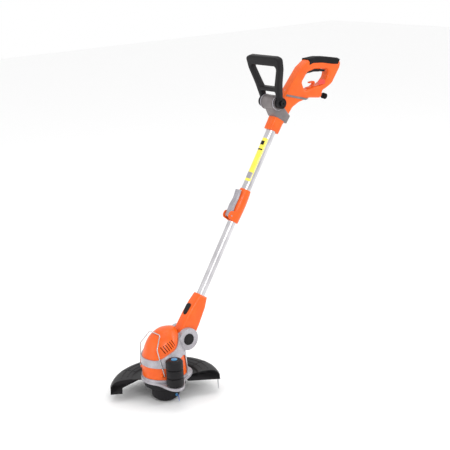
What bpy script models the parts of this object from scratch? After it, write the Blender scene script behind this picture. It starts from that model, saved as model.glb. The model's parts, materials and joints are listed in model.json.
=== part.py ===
"""Corded string trimmer with a telescopic shaft, a tilting head and an edging roller.

Metres, +Z up. The origin is the centre of the bump knob's flat underside, which rests on
the ground. The head faces -Y, the user stands at +Y, and +X is the user's left hand side.
The shaft leans back from the head towards the user.
"""
import math

import bmesh
import bpy
from mathutils import Matrix, Vector
from mathutils.geometry import tessellate_polygon

# Clearances
GAP = 0.0003  # between pieces that touch
RUN = 0.0005  # round a piece that turns or slides
SPLIT = 0.00015  # each half shell stops this far from the middle plane

# Shaft
LEAN = math.radians(33.0)  # shaft from the vertical
PIVOT_Y = 0.070  # tilt pivot behind the spool's axis
PIVOT_Z = 0.174
TUBE_R = 0.0125  # lower tube
TUBE_WALL = 0.0012
TUBE_SLIDE = 0.0007  # between the lower tube and the upper tube it runs in
OUTER_TUBE_WALL = 0.0013
OUTER_TUBE_R = TUBE_R + TUBE_SLIDE + OUTER_TUBE_WALL  # upper tube
LOWER_TUBE_FOOT = 0.052  # heights along the shaft, from the tilt pivot
LOWER_TUBE_TOP = 0.520
UPPER_TUBE_FOOT = 0.402
UPPER_TUBE_TOP = 0.803
BUSH_LENGTH = 0.022
COIL_LENGTH = 0.070  # curly motor lead inside the upper tube
COIL_R = 0.0095
LEAD_R = 0.0035

# Telescope clamp
CLAMP_FOOT = 0.372
CLAMP_TOP = 0.476
CLAMP_WALL = 0.0035
CLAMP_R = OUTER_TUBE_R + CLAMP_WALL
CLAMP_PIN_FRONT = 0.0225  # lever pivot, in front of the shaft's axis
CLAMP_PIN_ALONG = 0.385
CLAMP_PIN_R = 0.002
LUG_R = 0.0105
LUG_WALL = 0.0045
LEVER_HALF = 0.0110
LEVER_THICK = 0.0085
SHOE_HALF = 0.0065

# Connector at the foot of the shaft
CONNECTOR_TOP = 0.135
CONNECTOR_EYE_R = 0.0300
CONNECTOR_ROUND = 0.0110
COLLAR_WALL = 0.0025
COLLAR_R = TUBE_R + COLLAR_WALL
CONNECTOR_WALL = 0.0050
CONNECTOR_HALF = COLLAR_R + CONNECTOR_WALL
COLLAR_FOOT = 0.062
COLLAR_TOP = 0.098
SWIVEL_BUTTON_ALONG = 0.080
SWIVEL_BUTTON_HALF_LENGTH = 0.0180
SWIVEL_BUTTON_HALF_WIDTH = 0.0090
SWIVEL_BUTTON_FACE = 0.0295
SWIVEL_BUTTON_BACK = 0.0205
SWIVEL_TRAVEL = 0.0025

# Tilt joint
DISC_R = 0.0330
DISC_FACE = 0.0330  # outer face of each pivot disc
AXLE_R = 0.0050
TILT_BUTTON_R = 0.0168
TILT_BUTTON_FACE = 0.0362
TILT_BUTTON_BACK = 0.0285
TILT_TRAVEL = 0.0040
FORWARD_TILT = math.radians(15.0)  # how far the shaft leans over the dome
TILT_SPRING_R = 0.0070

# Main handle
HANDLE_HALF = 0.0180
HANDLE_ROUND = 0.0080
HANDLE_WALL = 0.0026
GRIP_SKIN = 0.0018
NOSE = 0.671
TRIGGER_HALF = 0.0068
TRIGGER_PIVOT = (-0.0160, 0.8620)
TRIGGER_TRAVEL = math.radians(4.0)
PIN_R = 0.0015
SCREW_R = 0.0016
SCREW_HEAD_R = 0.0032
SCREW_HEAD = 0.0020
CORD_EXIT = (-0.1180, 0.8525)
CORD_ANGLE = math.radians(12.0)  # the sleeve points back and slightly up the shaft
SLEEVE_R = 0.0062
SLEEVE_TIP_R = 0.0050
SLEEVE_BORE_R = 0.0032
SLEEVE_LENGTH = 0.031

# Second handle
AUX_FRONT = 0.040  # its pivot
AUX_ALONG = 0.749
AUX_TILT = math.radians(11.0)  # forward of the vertical
HUB_R = 0.0220
HUB_HALF = 0.0300
AUX_BOSS_R = 0.0165
AUX_BOSS_FACE = 0.0460
AUX_REACH = 0.145
AUX_TOP_HALF = 0.0770
AUX_DEPTH = 0.0210
AUX_BAR = 0.0290
HUB_BOLT_R = 0.0040

# Head
BODY_R = 0.0640
BODY_FOOT = 0.0825
BODY_SPLIT = 0.1295  # joint between motor housing and dome, behind the band
BODY_WALL = 0.0026
BAND_FOOT = 0.118
BAND_TOP = 0.141
BAND_WALL = 0.0032
PLATE_FOOT = 0.0663
PLATE_THICK = 0.0080
PLATE_R = 0.0700
COLLAR_RING_R = 0.0680
WIRE_R = 0.0015
WIRE_PIVOT = (0.0620, -0.0420, 0.0960)
SHAFT_R = 0.0040
STATOR_R = 0.0320
ARMATURE_R = 0.0190
BEARING_R = 0.0110

# Edge roller
ROLLER_X = 0.092
ROLLER_Y = -0.026
ROLLER_R = 0.0250
ROLLER_FOOT = 0.0760
ROLLER_TOP = 0.1510
ROLLER_GROOVE = 0.0028
ROLLER_PIN_R = 0.0040
ROLLER_CAP_R = 0.0090

# Guard
GUARD_R = 0.1620
GUARD_INNER_R = 0.0590
GUARD_WALL = 0.0030
GUARD_FOOT_REAR = 0.0455  # the rim hangs lower towards the front end
GUARD_FOOT_FRONT = 0.0235
GUARD_REAR_END = math.radians(58.0)
GUARD_FRONT_END = math.radians(239.0)
GUARD_FALL = 0.0150  # the top is this much lower at the front end

# Spool
CUP_R = 0.0410
CUP_WALL = 0.0025
CUP_FOOT = 0.0105
CUP_TOP = 0.0450
SKIRT_R = 0.0625
SKIRT_NECK_R = 0.0575  # inside the guard's flange
SKIRT_FOOT = 0.0480
KNOB_R = 0.0350
SPOOL_R = 0.0350
SPOOL_HUB_R = 0.0140
EYELET_ANGLE = math.radians(14.0)
EYELET_Z = 0.0200
LINE_R = 0.0010

for old in list(bpy.data.objects):
    bpy.data.objects.remove(old, do_unlink=True)


# ---------------------------------------------------------------- materials

def material(name, colour, roughness, metallic=0.0):
    made = bpy.data.materials.new(name)
    made.use_nodes = True
    shader = made.node_tree.nodes["Principled BSDF"]
    shader.inputs["Base Color"].default_value = (*colour, 1.0)
    shader.inputs["Roughness"].default_value = roughness
    shader.inputs["Metallic"].default_value = metallic
    return made


ORANGE = material("orange_plastic", (0.95, 0.16, 0.01), 0.35)
BLACK = material("black_plastic", (0.012, 0.012, 0.014), 0.45)
RUBBER = material("black_rubber", (0.015, 0.015, 0.016), 0.75)
SILVER = material("silver_plastic", (0.55, 0.55, 0.57), 0.35, 0.4)
GREY = material("grey_plastic", (0.23, 0.22, 0.23), 0.5)
ALUMINIUM = material("aluminium", (0.75, 0.75, 0.76), 0.25, 1.0)
STEEL = material("steel", (0.55, 0.55, 0.56), 0.3, 1.0)
COPPER = material("copper", (0.70, 0.28, 0.12), 0.4, 1.0)
BLUE = material("blue_plastic", (0.02, 0.35, 0.75), 0.35)
LINE = material("blue_nylon", (0.10, 0.25, 0.65), 0.3)


# ---------------------------------------------------------------- outlines

def rounded(corners, turn=math.radians(32.0)):
    """Closed outline through corners (a, b, radius), each rounded with an arc."""
    points = []
    count = len(corners)
    for i, (a, b, radius) in enumerate(corners):
        here = Vector((a, b))
        before = Vector(corners[i - 1][:2]) - here
        after = Vector(corners[(i + 1) % count][:2]) - here
        between = before.angle(after)
        bend = math.pi - between
        reach = radius * math.tan(bend / 2)
        reach = min(reach, 0.49 * before.length, 0.49 * after.length)
        if reach < 1e-5:
            points.append(here)
            continue
        used = reach / math.tan(bend / 2)
        middle = here + (before.normalized() + after.normalized()).normalized() * (used / math.sin(between / 2))
        start = here + before.normalized() * reach - middle
        end = here + after.normalized() * reach - middle
        sweep = start.angle_signed(end)
        steps = max(1, round(abs(sweep) / turn))
        for k in range(steps + 1):
            points.append(middle + Matrix.Rotation(-sweep * k / steps, 2) @ start)
    return points


def circle(a, b, radius, steps=32):
    return [
        Vector((a + radius * math.cos(math.tau * k / steps), b + radius * math.sin(math.tau * k / steps)))
        for k in range(steps)
    ]


def area(points):
    return sum(p.x * q.y - q.x * p.y for p, q in zip(points, points[1:] + points[:1])) / 2


def offset(points, distance):
    """The outline moved outwards, or inwards where distance is negative."""
    sign = 1.0 if area(points) > 0 else -1.0
    moved = []
    for before, here, after in zip(points[-1:] + points[:-1], points, points[1:] + points[:1]):
        first = (here - before).normalized()
        second = (after - here).normalized()
        one = Vector((first.y, -first.x)) * sign
        two = Vector((second.y, -second.x)) * sign
        moved.append(here + (one + two) * (distance / (1.0 + one.dot(two))))
    return moved


def round_over(half, radius, steps=2):
    """Levels (height, inset) of an edge rounded towards height half."""
    levels = []
    for k in range(steps + 1):
        angle = math.pi / 2 * k / steps
        levels.append((half - radius + radius * math.sin(angle), radius * (1 - math.cos(angle))))
    return levels


def both_sides(levels):
    """Mirrors a round_over, so that the piece has two rounded edges."""
    return [(-height, inset) for height, inset in reversed(levels)] + levels


# ---------------------------------------------------------------- meshes

def finished(name, bm, look, parent=None, location=(0, 0, 0), rotation=(0, 0, 0), sharp=35.0):
    bmesh.ops.remove_doubles(bm, verts=bm.verts, dist=1e-7)
    bmesh.ops.recalc_face_normals(bm, faces=bm.faces)
    mesh = bpy.data.meshes.new(name)
    bm.to_mesh(mesh)
    bm.free()
    mesh.materials.append(look)
    mesh.shade_smooth()
    mesh.set_sharp_from_angle(angle=math.radians(sharp))
    made = bpy.data.objects.new(name, mesh)
    bpy.context.scene.collection.objects.link(made)
    made.parent = parent
    made.location = location
    made.rotation_euler = rotation
    return made


def skin(bm, rings, closed=False):
    """Joins rings of equal length with faces, and the last to the first where closed."""
    pairs = list(zip(rings, rings[1:]))
    if closed:
        pairs.append((rings[-1], rings[0]))
    for low, high in pairs:
        count = max(len(low), len(high))
        for k in range(count):
            corners = [low[k % len(low)], low[(k + 1) % len(low)], high[(k + 1) % len(high)], high[k % len(high)]]
            unique = list(dict.fromkeys(corners))
            bm.faces.new(unique)


def slab(outline, levels, place, holes=()):
    """A plate: the outline and its holes at each level (height, inset), capped at both ends."""
    bm = bmesh.new()
    loops = [outline] + list(holes)
    rings = [[] for _ in loops]
    for number, loop in enumerate(loops):
        sign = 1.0 if number else -1.0
        for height, inset in levels:
            moved = offset(loop, sign * inset) if inset else loop
            rings[number].append([bm.verts.new(place(point.x, point.y, height)) for point in moved])
    for ring_set in rings:
        skin(bm, ring_set)
    for end in (0, -1):
        inset = levels[end][1]
        moved = [offset(loop, inset if number else -inset) for number, loop in enumerate(loops)]
        verts = [vert for ring_set in rings for vert in ring_set[end]]
        for triangle in tessellate_polygon([[point.to_3d() for point in loop] for loop in moved]):
            bm.faces.new([verts[k] for k in triangle])
    return bm


def turned(profile, steps=24, place=None):
    """A solid of revolution about +Z. The profile (radius, z) runs in order and closes on itself."""
    bm = bmesh.new()
    rings = []
    for radius, z in profile:
        if radius < 1e-7:
            rings.append([bm.verts.new((0, 0, z))])
            continue
        rings.append([
            bm.verts.new((radius * math.cos(math.tau * k / steps), radius * math.sin(math.tau * k / steps), z))
            for k in range(steps)
        ])
    hollow = len(rings[0]) > 1 and len(rings[-1]) > 1
    skin(bm, rings, closed=hollow)
    if place:
        bmesh.ops.transform(bm, matrix=place, verts=bm.verts)
    return bm


def sleeve(inner, outer, low, high, steps=20, place=None):
    return turned([(inner, low), (outer, low), (outer, high), (inner, high)], steps, place)


def rod(radius, low, high, steps=20, place=None):
    return turned([(0, low), (radius, low), (radius, high), (0, high)], steps, place)


def box(low, high):
    bm = bmesh.new()
    bmesh.ops.create_cube(bm, size=1.0)
    for vert in bm.verts:
        for axis in range(3):
            vert.co[axis] = low[axis] if vert.co[axis] < 0 else high[axis]
    return bm


def stacked(loops):
    """A solid through loops of points, with flat ends."""
    bm = bmesh.new()
    rings = [[bm.verts.new(point) for point in loop] for loop in loops]
    skin(bm, rings)
    bm.faces.new(rings[0])
    bm.faces.new(rings[-1])
    return bm


def wire(name, points, radius, look, parent=None, sides=1):
    """A round wire of constant thickness through the points."""
    curve = bpy.data.curves.new(name, "CURVE")
    curve.dimensions = "3D"
    curve.bevel_depth = radius
    curve.bevel_resolution = sides
    curve.use_fill_caps = True
    spline = curve.splines.new("POLY")
    spline.points.add(len(points) - 1)
    for slot, point in zip(spline.points, points):
        slot.co = (*point, 1.0)
    curve.materials.append(look)
    made = bpy.data.objects.new(name, curve)
    bpy.context.scene.collection.objects.link(made)
    made.parent = parent
    return made


def smooth_path(points, steps):
    """Points on a Catmull-Rom curve through the given points."""
    path = []
    ends = [points[0] * 2 - points[1]] + list(points) + [points[-1] * 2 - points[-2]]
    for p0, p1, p2, p3 in zip(ends, ends[1:], ends[2:], ends[3:]):
        for k in range(steps):
            t = k / steps
            path.append(0.5 * (
                2 * p1 + (p2 - p0) * t + (2 * p0 - 5 * p1 + 4 * p2 - p3) * t * t
                + (3 * p1 - p0 - 3 * p2 + p3) * t * t * t
            ))
    path.append(points[-1])
    return path


def helix(radius, low, high, turns, steps=8):
    """Points of a coil about +Z."""
    count = int(turns * steps)
    return [
        Vector((
            radius * math.cos(math.tau * k / steps), radius * math.sin(math.tau * k / steps),
            low + (high - low) * k / count,
        ))
        for k in range(count + 1)
    ]


def boolean(target, tool, operation):
    change = target.modifiers.new(operation.lower(), "BOOLEAN")
    change.operation = operation
    change.solver = "EXACT"
    change.object = tool
    tool.hide_render = True
    tool.display_type = "WIRE"


def cut(targets, name, bm, parent=None, location=(0, 0, 0), rotation=(0, 0, 0)):
    tool = finished("cut_" + name, bm, STEEL, parent, location, rotation)
    for target in targets:
        boolean(target, tool, "DIFFERENCE")


def add(target, name, bm, parent=None, location=(0, 0, 0), rotation=(0, 0, 0)):
    tool = finished("add_" + name, bm, STEEL, parent, location, rotation)
    boolean(target, tool, "UNION")


def keep(target, name, bm):
    tool = finished("keep_" + name, bm, STEEL)
    boolean(target, tool, "INTERSECT")


def weld(target):
    """Closes the slivers that a cut can leave along a long straight edge."""
    change = target.modifiers.new("weld", "WELD")
    change.merge_threshold = 0.00006


def frame_empty(name, parent=None, location=(0, 0, 0), rotation=(0, 0, 0)):
    made = bpy.data.objects.new(name, None)
    bpy.context.scene.collection.objects.link(made)
    made.parent = parent
    made.location = location
    made.rotation_euler = rotation
    return made


def side(front, along, height):
    """Side view of the shaft: in front of its axis, along it, and out to the left."""
    return Vector((height, -front, along))


ALONG_X = Matrix.Rotation(math.pi / 2, 4, "Y")  # turns +Z to +X

shaft = frame_empty("shaft_frame", location=(0, PIVOT_Y, PIVOT_Z), rotation=(-LEAN, 0, 0))


def along_x(bm, front=0.0, along=0.0):
    """Turns a solid about +Z to lie along +X at a place in the shaft's side view."""
    bmesh.ops.transform(bm, matrix=Matrix.Translation(side(front, along, 0)) @ ALONG_X, verts=bm.verts)
    return bm


# ---------------------------------------------------------------- tubes

def make_tubes():
    finished("upper_tube", sleeve(OUTER_TUBE_R - OUTER_TUBE_WALL, OUTER_TUBE_R, UPPER_TUBE_FOOT, UPPER_TUBE_TOP),
             ALUMINIUM, shaft)
    finished("lower_tube", sleeve(TUBE_R - TUBE_WALL, TUBE_R, LOWER_TUBE_FOOT, LOWER_TUBE_TOP), ALUMINIUM, shaft)
    inner = OUTER_TUBE_R - OUTER_TUBE_WALL - GAP
    cap_top = LOWER_TUBE_TOP + GAP + 0.003
    bush = [
        (LEAD_R + RUN, LOWER_TUBE_TOP + GAP), (inner, LOWER_TUBE_TOP + GAP), (inner, cap_top),
        (LEAD_R + RUN, cap_top),
    ]
    guide = finished("guide_bush", turned(bush), BLACK, shaft)
    plug_r = TUBE_R - TUBE_WALL - GAP
    add(guide, "bush_plug", sleeve(LEAD_R + RUN, plug_r, LOWER_TUBE_TOP - BUSH_LENGTH, LOWER_TUBE_TOP + 0.001),
        shaft)
    coil_foot = cap_top + GAP
    finished("lead_coil", rod(COIL_R, coil_foot, coil_foot + COIL_LENGTH, 16), RUBBER, shaft)
    finished("motor_lead", rod(LEAD_R, LOWER_TUBE_FOOT + 0.004, cap_top, 10), RUBBER, shaft)
    finished("tube_collar", sleeve(TUBE_R + GAP, COLLAR_R, COLLAR_FOOT, COLLAR_TOP), STEEL, shaft)


# ---------------------------------------------------------------- telescope clamp

def make_clamp():
    body = finished("clamp_body", turned([
        (TUBE_R + GAP, CLAMP_FOOT), (CLAMP_R - 0.001, CLAMP_FOOT), (CLAMP_R, CLAMP_FOOT + 0.003),
        (CLAMP_R + 0.0015, CLAMP_FOOT + 0.040), (CLAMP_R + 0.0015, CLAMP_FOOT + 0.062), (CLAMP_R, CLAMP_TOP - 0.010),
        (CLAMP_R - 0.0015, CLAMP_TOP), (OUTER_TUBE_R + GAP, CLAMP_TOP),
        (OUTER_TUBE_R + GAP, UPPER_TUBE_FOOT - GAP), (TUBE_R + GAP, UPPER_TUBE_FOOT - GAP),
    ], 26), ORANGE, shaft)
    lug_half = LEVER_HALF + RUN + LUG_WALL
    lug = rounded([
        (CLAMP_PIN_FRONT + LUG_R, CLAMP_PIN_ALONG + LUG_R, LUG_R),
        (0.004, CLAMP_PIN_ALONG + 0.022, 0.0), (0.004, CLAMP_FOOT + 0.002, 0.0),
        (0.012, CLAMP_FOOT + 0.001, 0.0), (CLAMP_PIN_FRONT + LUG_R, CLAMP_PIN_ALONG - LUG_R, LUG_R),
    ])
    add(body, "clamp_lugs", slab(lug, both_sides(round_over(lug_half, 0.003, 1)), side), shaft)
    room = LEVER_HALF + RUN
    gap_outline = rounded([
        (CLAMP_R + 0.0005, CLAMP_FOOT - 0.004, 0.0005), (0.060, CLAMP_FOOT - 0.004, 0.0005),
        (0.060, CLAMP_TOP + 0.010, 0.0005), (CLAMP_R - 0.0006, CLAMP_TOP + 0.010, 0.0005),
        (CLAMP_R - 0.0006, CLAMP_PIN_ALONG + 0.020, 0.0005), (CLAMP_PIN_FRONT - 0.0095, CLAMP_PIN_ALONG + 0.009, 0.001),
        (CLAMP_PIN_FRONT - 0.0095, CLAMP_PIN_ALONG - 0.0075, 0.001),
    ])
    cut([body], "lever_room", slab(gap_outline, [(-room, 0), (room, 0)], side), shaft)
    window = SHOE_HALF + GAP
    cut([body], "shoe_window", box((-window, -0.030, CLAMP_PIN_ALONG - window), (window, 0, CLAMP_PIN_ALONG + window)),
        shaft)
    cut([body], "clamp_bore", rod(TUBE_R + GAP, CLAMP_FOOT - 0.01, UPPER_TUBE_FOOT, 26), shaft)
    cut([body], "clamp_upper_bore", rod(OUTER_TUBE_R + GAP, UPPER_TUBE_FOOT - GAP, CLAMP_TOP + 0.01, 26), shaft)
    cut([body], "clamp_pin", along_x(rod(CLAMP_PIN_R + GAP, -0.03, 0.03, 10), CLAMP_PIN_FRONT, CLAMP_PIN_ALONG), shaft)
    finished("clamp_pin", along_x(rod(CLAMP_PIN_R, -lug_half, lug_half, 12), CLAMP_PIN_FRONT, CLAMP_PIN_ALONG),
             STEEL, shaft)
    shoe_front = CLAMP_PIN_FRONT - LEVER_THICK / 2 - 0.0010 - GAP
    shoe = finished("clamp_shoe", box((-SHOE_HALF, -shoe_front, CLAMP_PIN_ALONG - SHOE_HALF),
                                      (SHOE_HALF, 0, CLAMP_PIN_ALONG + SHOE_HALF)), BLACK, shaft)
    cut([shoe], "shoe_face", rod(TUBE_R + GAP, CLAMP_FOOT - 0.01, UPPER_TUBE_FOOT, 32), shaft)

    eye = LEVER_THICK / 2 + 0.0010
    lever = rounded([
        (CLAMP_PIN_FRONT - eye, CLAMP_PIN_ALONG - eye, eye), (CLAMP_PIN_FRONT - eye, CLAMP_PIN_ALONG + 0.010, 0.006),
        (0.0200, CLAMP_PIN_ALONG + 0.030, 0.020), (0.0186, CLAMP_PIN_ALONG + 0.055, 0.030),
        (0.0215, CLAMP_PIN_ALONG + 0.083, 0.0), (0.0290, CLAMP_PIN_ALONG + 0.081, 0.0),
        (0.0255, CLAMP_PIN_ALONG + 0.055, 0.030), (0.0290, CLAMP_PIN_ALONG + 0.030, 0.025),
        (CLAMP_PIN_FRONT + eye, CLAMP_PIN_ALONG + 0.008, 0.010), (CLAMP_PIN_FRONT + eye, CLAMP_PIN_ALONG - eye, eye),
    ])
    handle = finished("clamp_lever", slab(lever, both_sides(round_over(LEVER_HALF, 0.002, 1)), side), SILVER, shaft)
    cut([handle], "lever_pin", along_x(rod(CLAMP_PIN_R + GAP, -0.03, 0.03, 12), CLAMP_PIN_FRONT, CLAMP_PIN_ALONG),
        shaft)


# ---------------------------------------------------------------- main handle

HANDLE = [
    (0.0190, NOSE, 0.0), (0.0205, 0.760, 0.060), (0.0090, 0.842, 0.060), (0.0030, 0.884, 0.030),
    (-0.0130, 0.919, 0.030), (-0.0430, 0.942, 0.040), (-0.0740, 0.958, 0.060), (-0.1150, 0.975, 0.012),
    (-0.1350, 0.975, 0.013), (-0.1395, 0.955, 0.020), (-0.1360, 0.900, 0.030), (-0.1230, 0.878, 0.020),
    (-0.1125, 0.864, 0.009), (-0.1190, 0.842, 0.009), (-0.0760, 0.821, 0.030), (-0.0440, 0.790, 0.035),
    (-0.0290, 0.766, 0.030), (-0.0250, 0.735, 0.030), (-0.0200, 0.700, 0.030), (-0.0190, NOSE, 0.0),
]
HANDLE_OPENING = [
    (-0.0235, 0.848, 0.009), (-0.0280, 0.884, 0.016), (-0.0500, 0.906, 0.025), (-0.1010, 0.932, 0.009),
    (-0.1080, 0.908, 0.015), (-0.1020, 0.886, 0.014), (-0.0920, 0.873, 0.012), (-0.0740, 0.857, 0.020),
    (-0.0460, 0.831, 0.010),
]
TRIGGER = [
    (-0.0240, 0.8560, 0.003), (-0.0335, 0.8800, 0.012), (-0.0560, 0.8990, 0.020), (-0.0950, 0.9195, 0.004),
    (-0.0985, 0.9270, 0.004), (-0.0480, 0.9090, 0.020), (-0.0250, 0.8870, 0.016), (-0.0185, 0.8670, 0.006),
    (-0.0120, 0.8660, 0.004), (-0.0120, 0.8580, 0.004),
]
HANDLE_SCREWS = [(-0.0030, 0.8230), (-0.1050, 0.9480), (-0.0640, 0.8270)]
GRIP_REGION = [
    (-0.0210, 0.9020, 0.0), (-0.0330, 0.9160, 0.012), (-0.0640, 0.9330, 0.020), (-0.1080, 0.9510, 0.0),
    (-0.1260, 0.9600, 0.0), (-0.1260, 0.9785, 0.0), (-0.1150, 0.9775, 0.0), (-0.0740, 0.9602, 0.060),
    (-0.0425, 0.9440, 0.040), (-0.0115, 0.9210, 0.0),
]


def swung(corner, pivot, angle):
    """A corner of the side view turned about a pivot, positive for the rear end moving up."""
    centre = Vector(pivot)
    moved = Matrix.Rotation(-angle, 2) @ (Vector(corner[:2]) - centre) + centre
    return (moved.x, moved.y, corner[2])


def make_handle():
    outline = rounded(HANDLE)
    opening = rounded(HANDLE_OPENING)
    edge = round_over(HANDLE_HALF, HANDLE_ROUND)
    left = finished("handle_left", slab(outline, [(SPLIT, 0)] + edge, side, [opening]), ORANGE, shaft)
    right = finished("handle_right", slab(outline, [(-h, i) for h, i in reversed(edge)] + [(-SPLIT, 0)], side,
                                          [opening]), ORANGE, shaft)
    shells = [left, right]

    hook = rounded([
        (-0.0745, 0.8540, 0.0), (-0.0800, 0.8660, 0.008), (-0.0800, 0.8760, 0.005), (-0.0720, 0.8760, 0.006),
        (-0.0600, 0.8655, 0.001), (-0.0620, 0.8620, 0.001), (-0.0715, 0.8705, 0.003), (-0.0750, 0.8705, 0.003),
        (-0.0750, 0.8650, 0.006), (-0.0695, 0.8540, 0.0), (-0.0600, 0.8480, 0.0), (-0.0600, 0.8440, 0.0),
        (-0.0840, 0.8500, 0.0), (-0.0840, 0.8540, 0.0),
    ])
    hook_half = 0.0050
    finished("cord_hook", slab(hook, [(-hook_half, 0), (hook_half, 0)], side), ORANGE, shaft)
    room = hook_half + GAP
    cut(shells, "hook_root", slab(offset(hook, GAP), [(-room, 0), (room, 0)], side), shaft)

    # One pocket runs round the loop for the switch, the trigger and the wires.
    loop = [corner for corner in HANDLE if corner[1] > 0.819 and not (corner[0] > -0.01 and corner[1] < 0.83)]
    loop = loop + [(-0.0560, 0.8160, 0.0), (-0.0100, 0.8080, 0.0), (0.0130, 0.8080, 0.0)]
    pocket = offset(rounded(loop), -HANDLE_WALL)
    inside = HANDLE_HALF - HANDLE_WALL
    levels = both_sides(round_over(inside, HANDLE_ROUND - HANDLE_WALL, 2))
    hollow = finished("cut_wiring_pocket", slab(pocket, levels, side, [offset(opening, HANDLE_WALL)]), STEEL, shaft)
    for number, (front, along) in enumerate(HANDLE_SCREWS, 1):
        cut([hollow], f"post_{number}", along_x(rod(SCREW_HEAD_R + 0.0015, -0.03, 0.03, 16), front, along), shaft)
    for shell in shells:
        boolean(shell, hollow, "DIFFERENCE")
    cut(shells, "tube_seat", rod(OUTER_TUBE_R + GAP, NOSE - 0.01, UPPER_TUBE_TOP + GAP, 26), shaft)
    way = LEAD_R + 0.0030
    cut(shells, "lead_way", box((-way, -way, UPPER_TUBE_TOP - 0.005), (way, way, 0.8150)), shaft)

    trigger = rounded(TRIGGER)
    room = TRIGGER_HALF + RUN
    pressed = TRIGGER_TRAVEL + math.radians(0.4)
    slot = TRIGGER[:4] + [swung(corner, TRIGGER_PIVOT, pressed) for corner in TRIGGER[4:8]] + TRIGGER[8:]
    swept = offset(rounded(slot), RUN + 0.0004)
    cut(shells, "trigger_slot", slab(swept, [(-room, 0), (room, 0)], side), shaft)
    blade = finished("trigger", slab(trigger, both_sides(round_over(TRIGGER_HALF, 0.0015, 1)), side), BLACK, shaft)
    pin_hole = along_x(rod(PIN_R + GAP, -0.03, 0.03, 12), *TRIGGER_PIVOT)
    cut(shells + [blade], "trigger_pin", pin_hole, shaft)
    finished("trigger_pin", along_x(rod(PIN_R, -inside - 0.001, inside + 0.001, 12), *TRIGGER_PIVOT), STEEL, shaft)
    coil = helix(0.0029, TRIGGER_HALF + 0.0012, TRIGGER_HALF + 0.0062, 4)
    place = Matrix.Translation(side(*TRIGGER_PIVOT, 0)) @ ALONG_X
    wire("trigger_spring", [place @ point for point in coil], 0.0004, STEEL, shaft, 0)

    ahead = Vector((-0.887, 0.461))
    up = Vector((0.461, 0.887))
    middle = Vector((-0.0740, 0.9180)) + up * 0.0225
    length = 0.011
    height = 0.006
    corners = [middle + ahead * (length * a) + up * (height * b) for a, b in ((-1, -1), (1, -1), (1, 1), (-1, 1))]
    finished("switch_box", slab(corners, [(-0.008, 0), (0.008, 0)], side), BLACK, shaft)

    for number, (front, along) in enumerate(HANDLE_SCREWS, 1):
        outer = HANDLE_HALF - 0.0005
        screw = turned([
            (0, -outer), (SCREW_HEAD_R, -outer), (SCREW_HEAD_R, -outer + SCREW_HEAD), (SCREW_R, -outer + SCREW_HEAD),
            (SCREW_R, 0.010), (0, 0.010),
        ], 12)
        hole = turned([
            (0, -outer - 0.01), (SCREW_HEAD_R + GAP, -outer - 0.01), (SCREW_HEAD_R + GAP, -outer + SCREW_HEAD + GAP),
            (SCREW_R + GAP, -outer + SCREW_HEAD + GAP), (SCREW_R + GAP, 0.010 + GAP), (0, 0.010 + GAP),
        ], 12)
        finished(f"handle_screw_{number}", along_x(screw, front, along), STEEL, shaft)
        cut(shells, f"screw_{number}", along_x(hole, front, along), shaft)

    # Cord sleeve at the lower rear corner, pointing back.
    turn = Matrix.Translation(side(*CORD_EXIT, 0)) @ Matrix.Rotation(-math.pi / 2 + CORD_ANGLE, 4, "X")
    profile = [
        (SLEEVE_BORE_R, -0.008), (SLEEVE_R + 0.0025, -0.008), (SLEEVE_R + 0.0025, -0.0052), (SLEEVE_R, -0.0052),
        (SLEEVE_R, 0.004), (SLEEVE_TIP_R, SLEEVE_LENGTH), (SLEEVE_BORE_R, SLEEVE_LENGTH),
    ]
    finished("cord_sleeve", turned(profile, 20, turn), RUBBER, shaft)
    room = [
        (0, -0.0095), (SLEEVE_R + 0.0025 + GAP, -0.0095), (SLEEVE_R + 0.0025 + GAP, -0.0049),
        (SLEEVE_R + GAP, -0.0049), (SLEEVE_R + GAP, 0.03), (0, 0.03),
    ]
    cut(shells, "sleeve_room", turned(room, 20, turn), shaft)
    way = rod(SLEEVE_BORE_R + 0.0015, -0.030, -0.004, 12, turn)
    cut(shells, "cord_way", way, shaft)

    for shell in shells:
        weld(shell)

    # Rubber skin over the top of the grip.
    region = offset(rounded(GRIP_REGION), 0.0004)
    grip_half = HANDLE_HALF + GRIP_SKIN
    grip = finished("soft_grip", slab(region, both_sides(round_over(grip_half, 0.006, 2)), side), RUBBER, shaft)
    shape = offset(outline, GAP)
    hull = both_sides(round_over(HANDLE_HALF + GAP, HANDLE_ROUND))
    cut([grip], "grip_inside", slab(shape, hull, side), shaft)

    band = [
        Vector((0.0140, 0.7830)), Vector((0.0140, 0.7890)), Vector((-0.0880, 0.8215)), Vector((-0.0880, 0.8150)),
    ]
    trim = finished("trim_band", slab(band, [(-HANDLE_HALF - 0.0022, 0), (HANDLE_HALF + 0.0022, 0)], side), GREY, shaft)
    limit = offset(outline, 0.0022)
    tool = finished("keep_trim", slab(limit, both_sides(round_over(HANDLE_HALF + 0.0022, HANDLE_ROUND)), side),
                    GREY, shaft)
    boolean(trim, tool, "INTERSECT")
    cut([trim], "trim_inside", slab(shape, hull, side), shaft)
    return shape, hull


# ---------------------------------------------------------------- second handle

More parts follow.
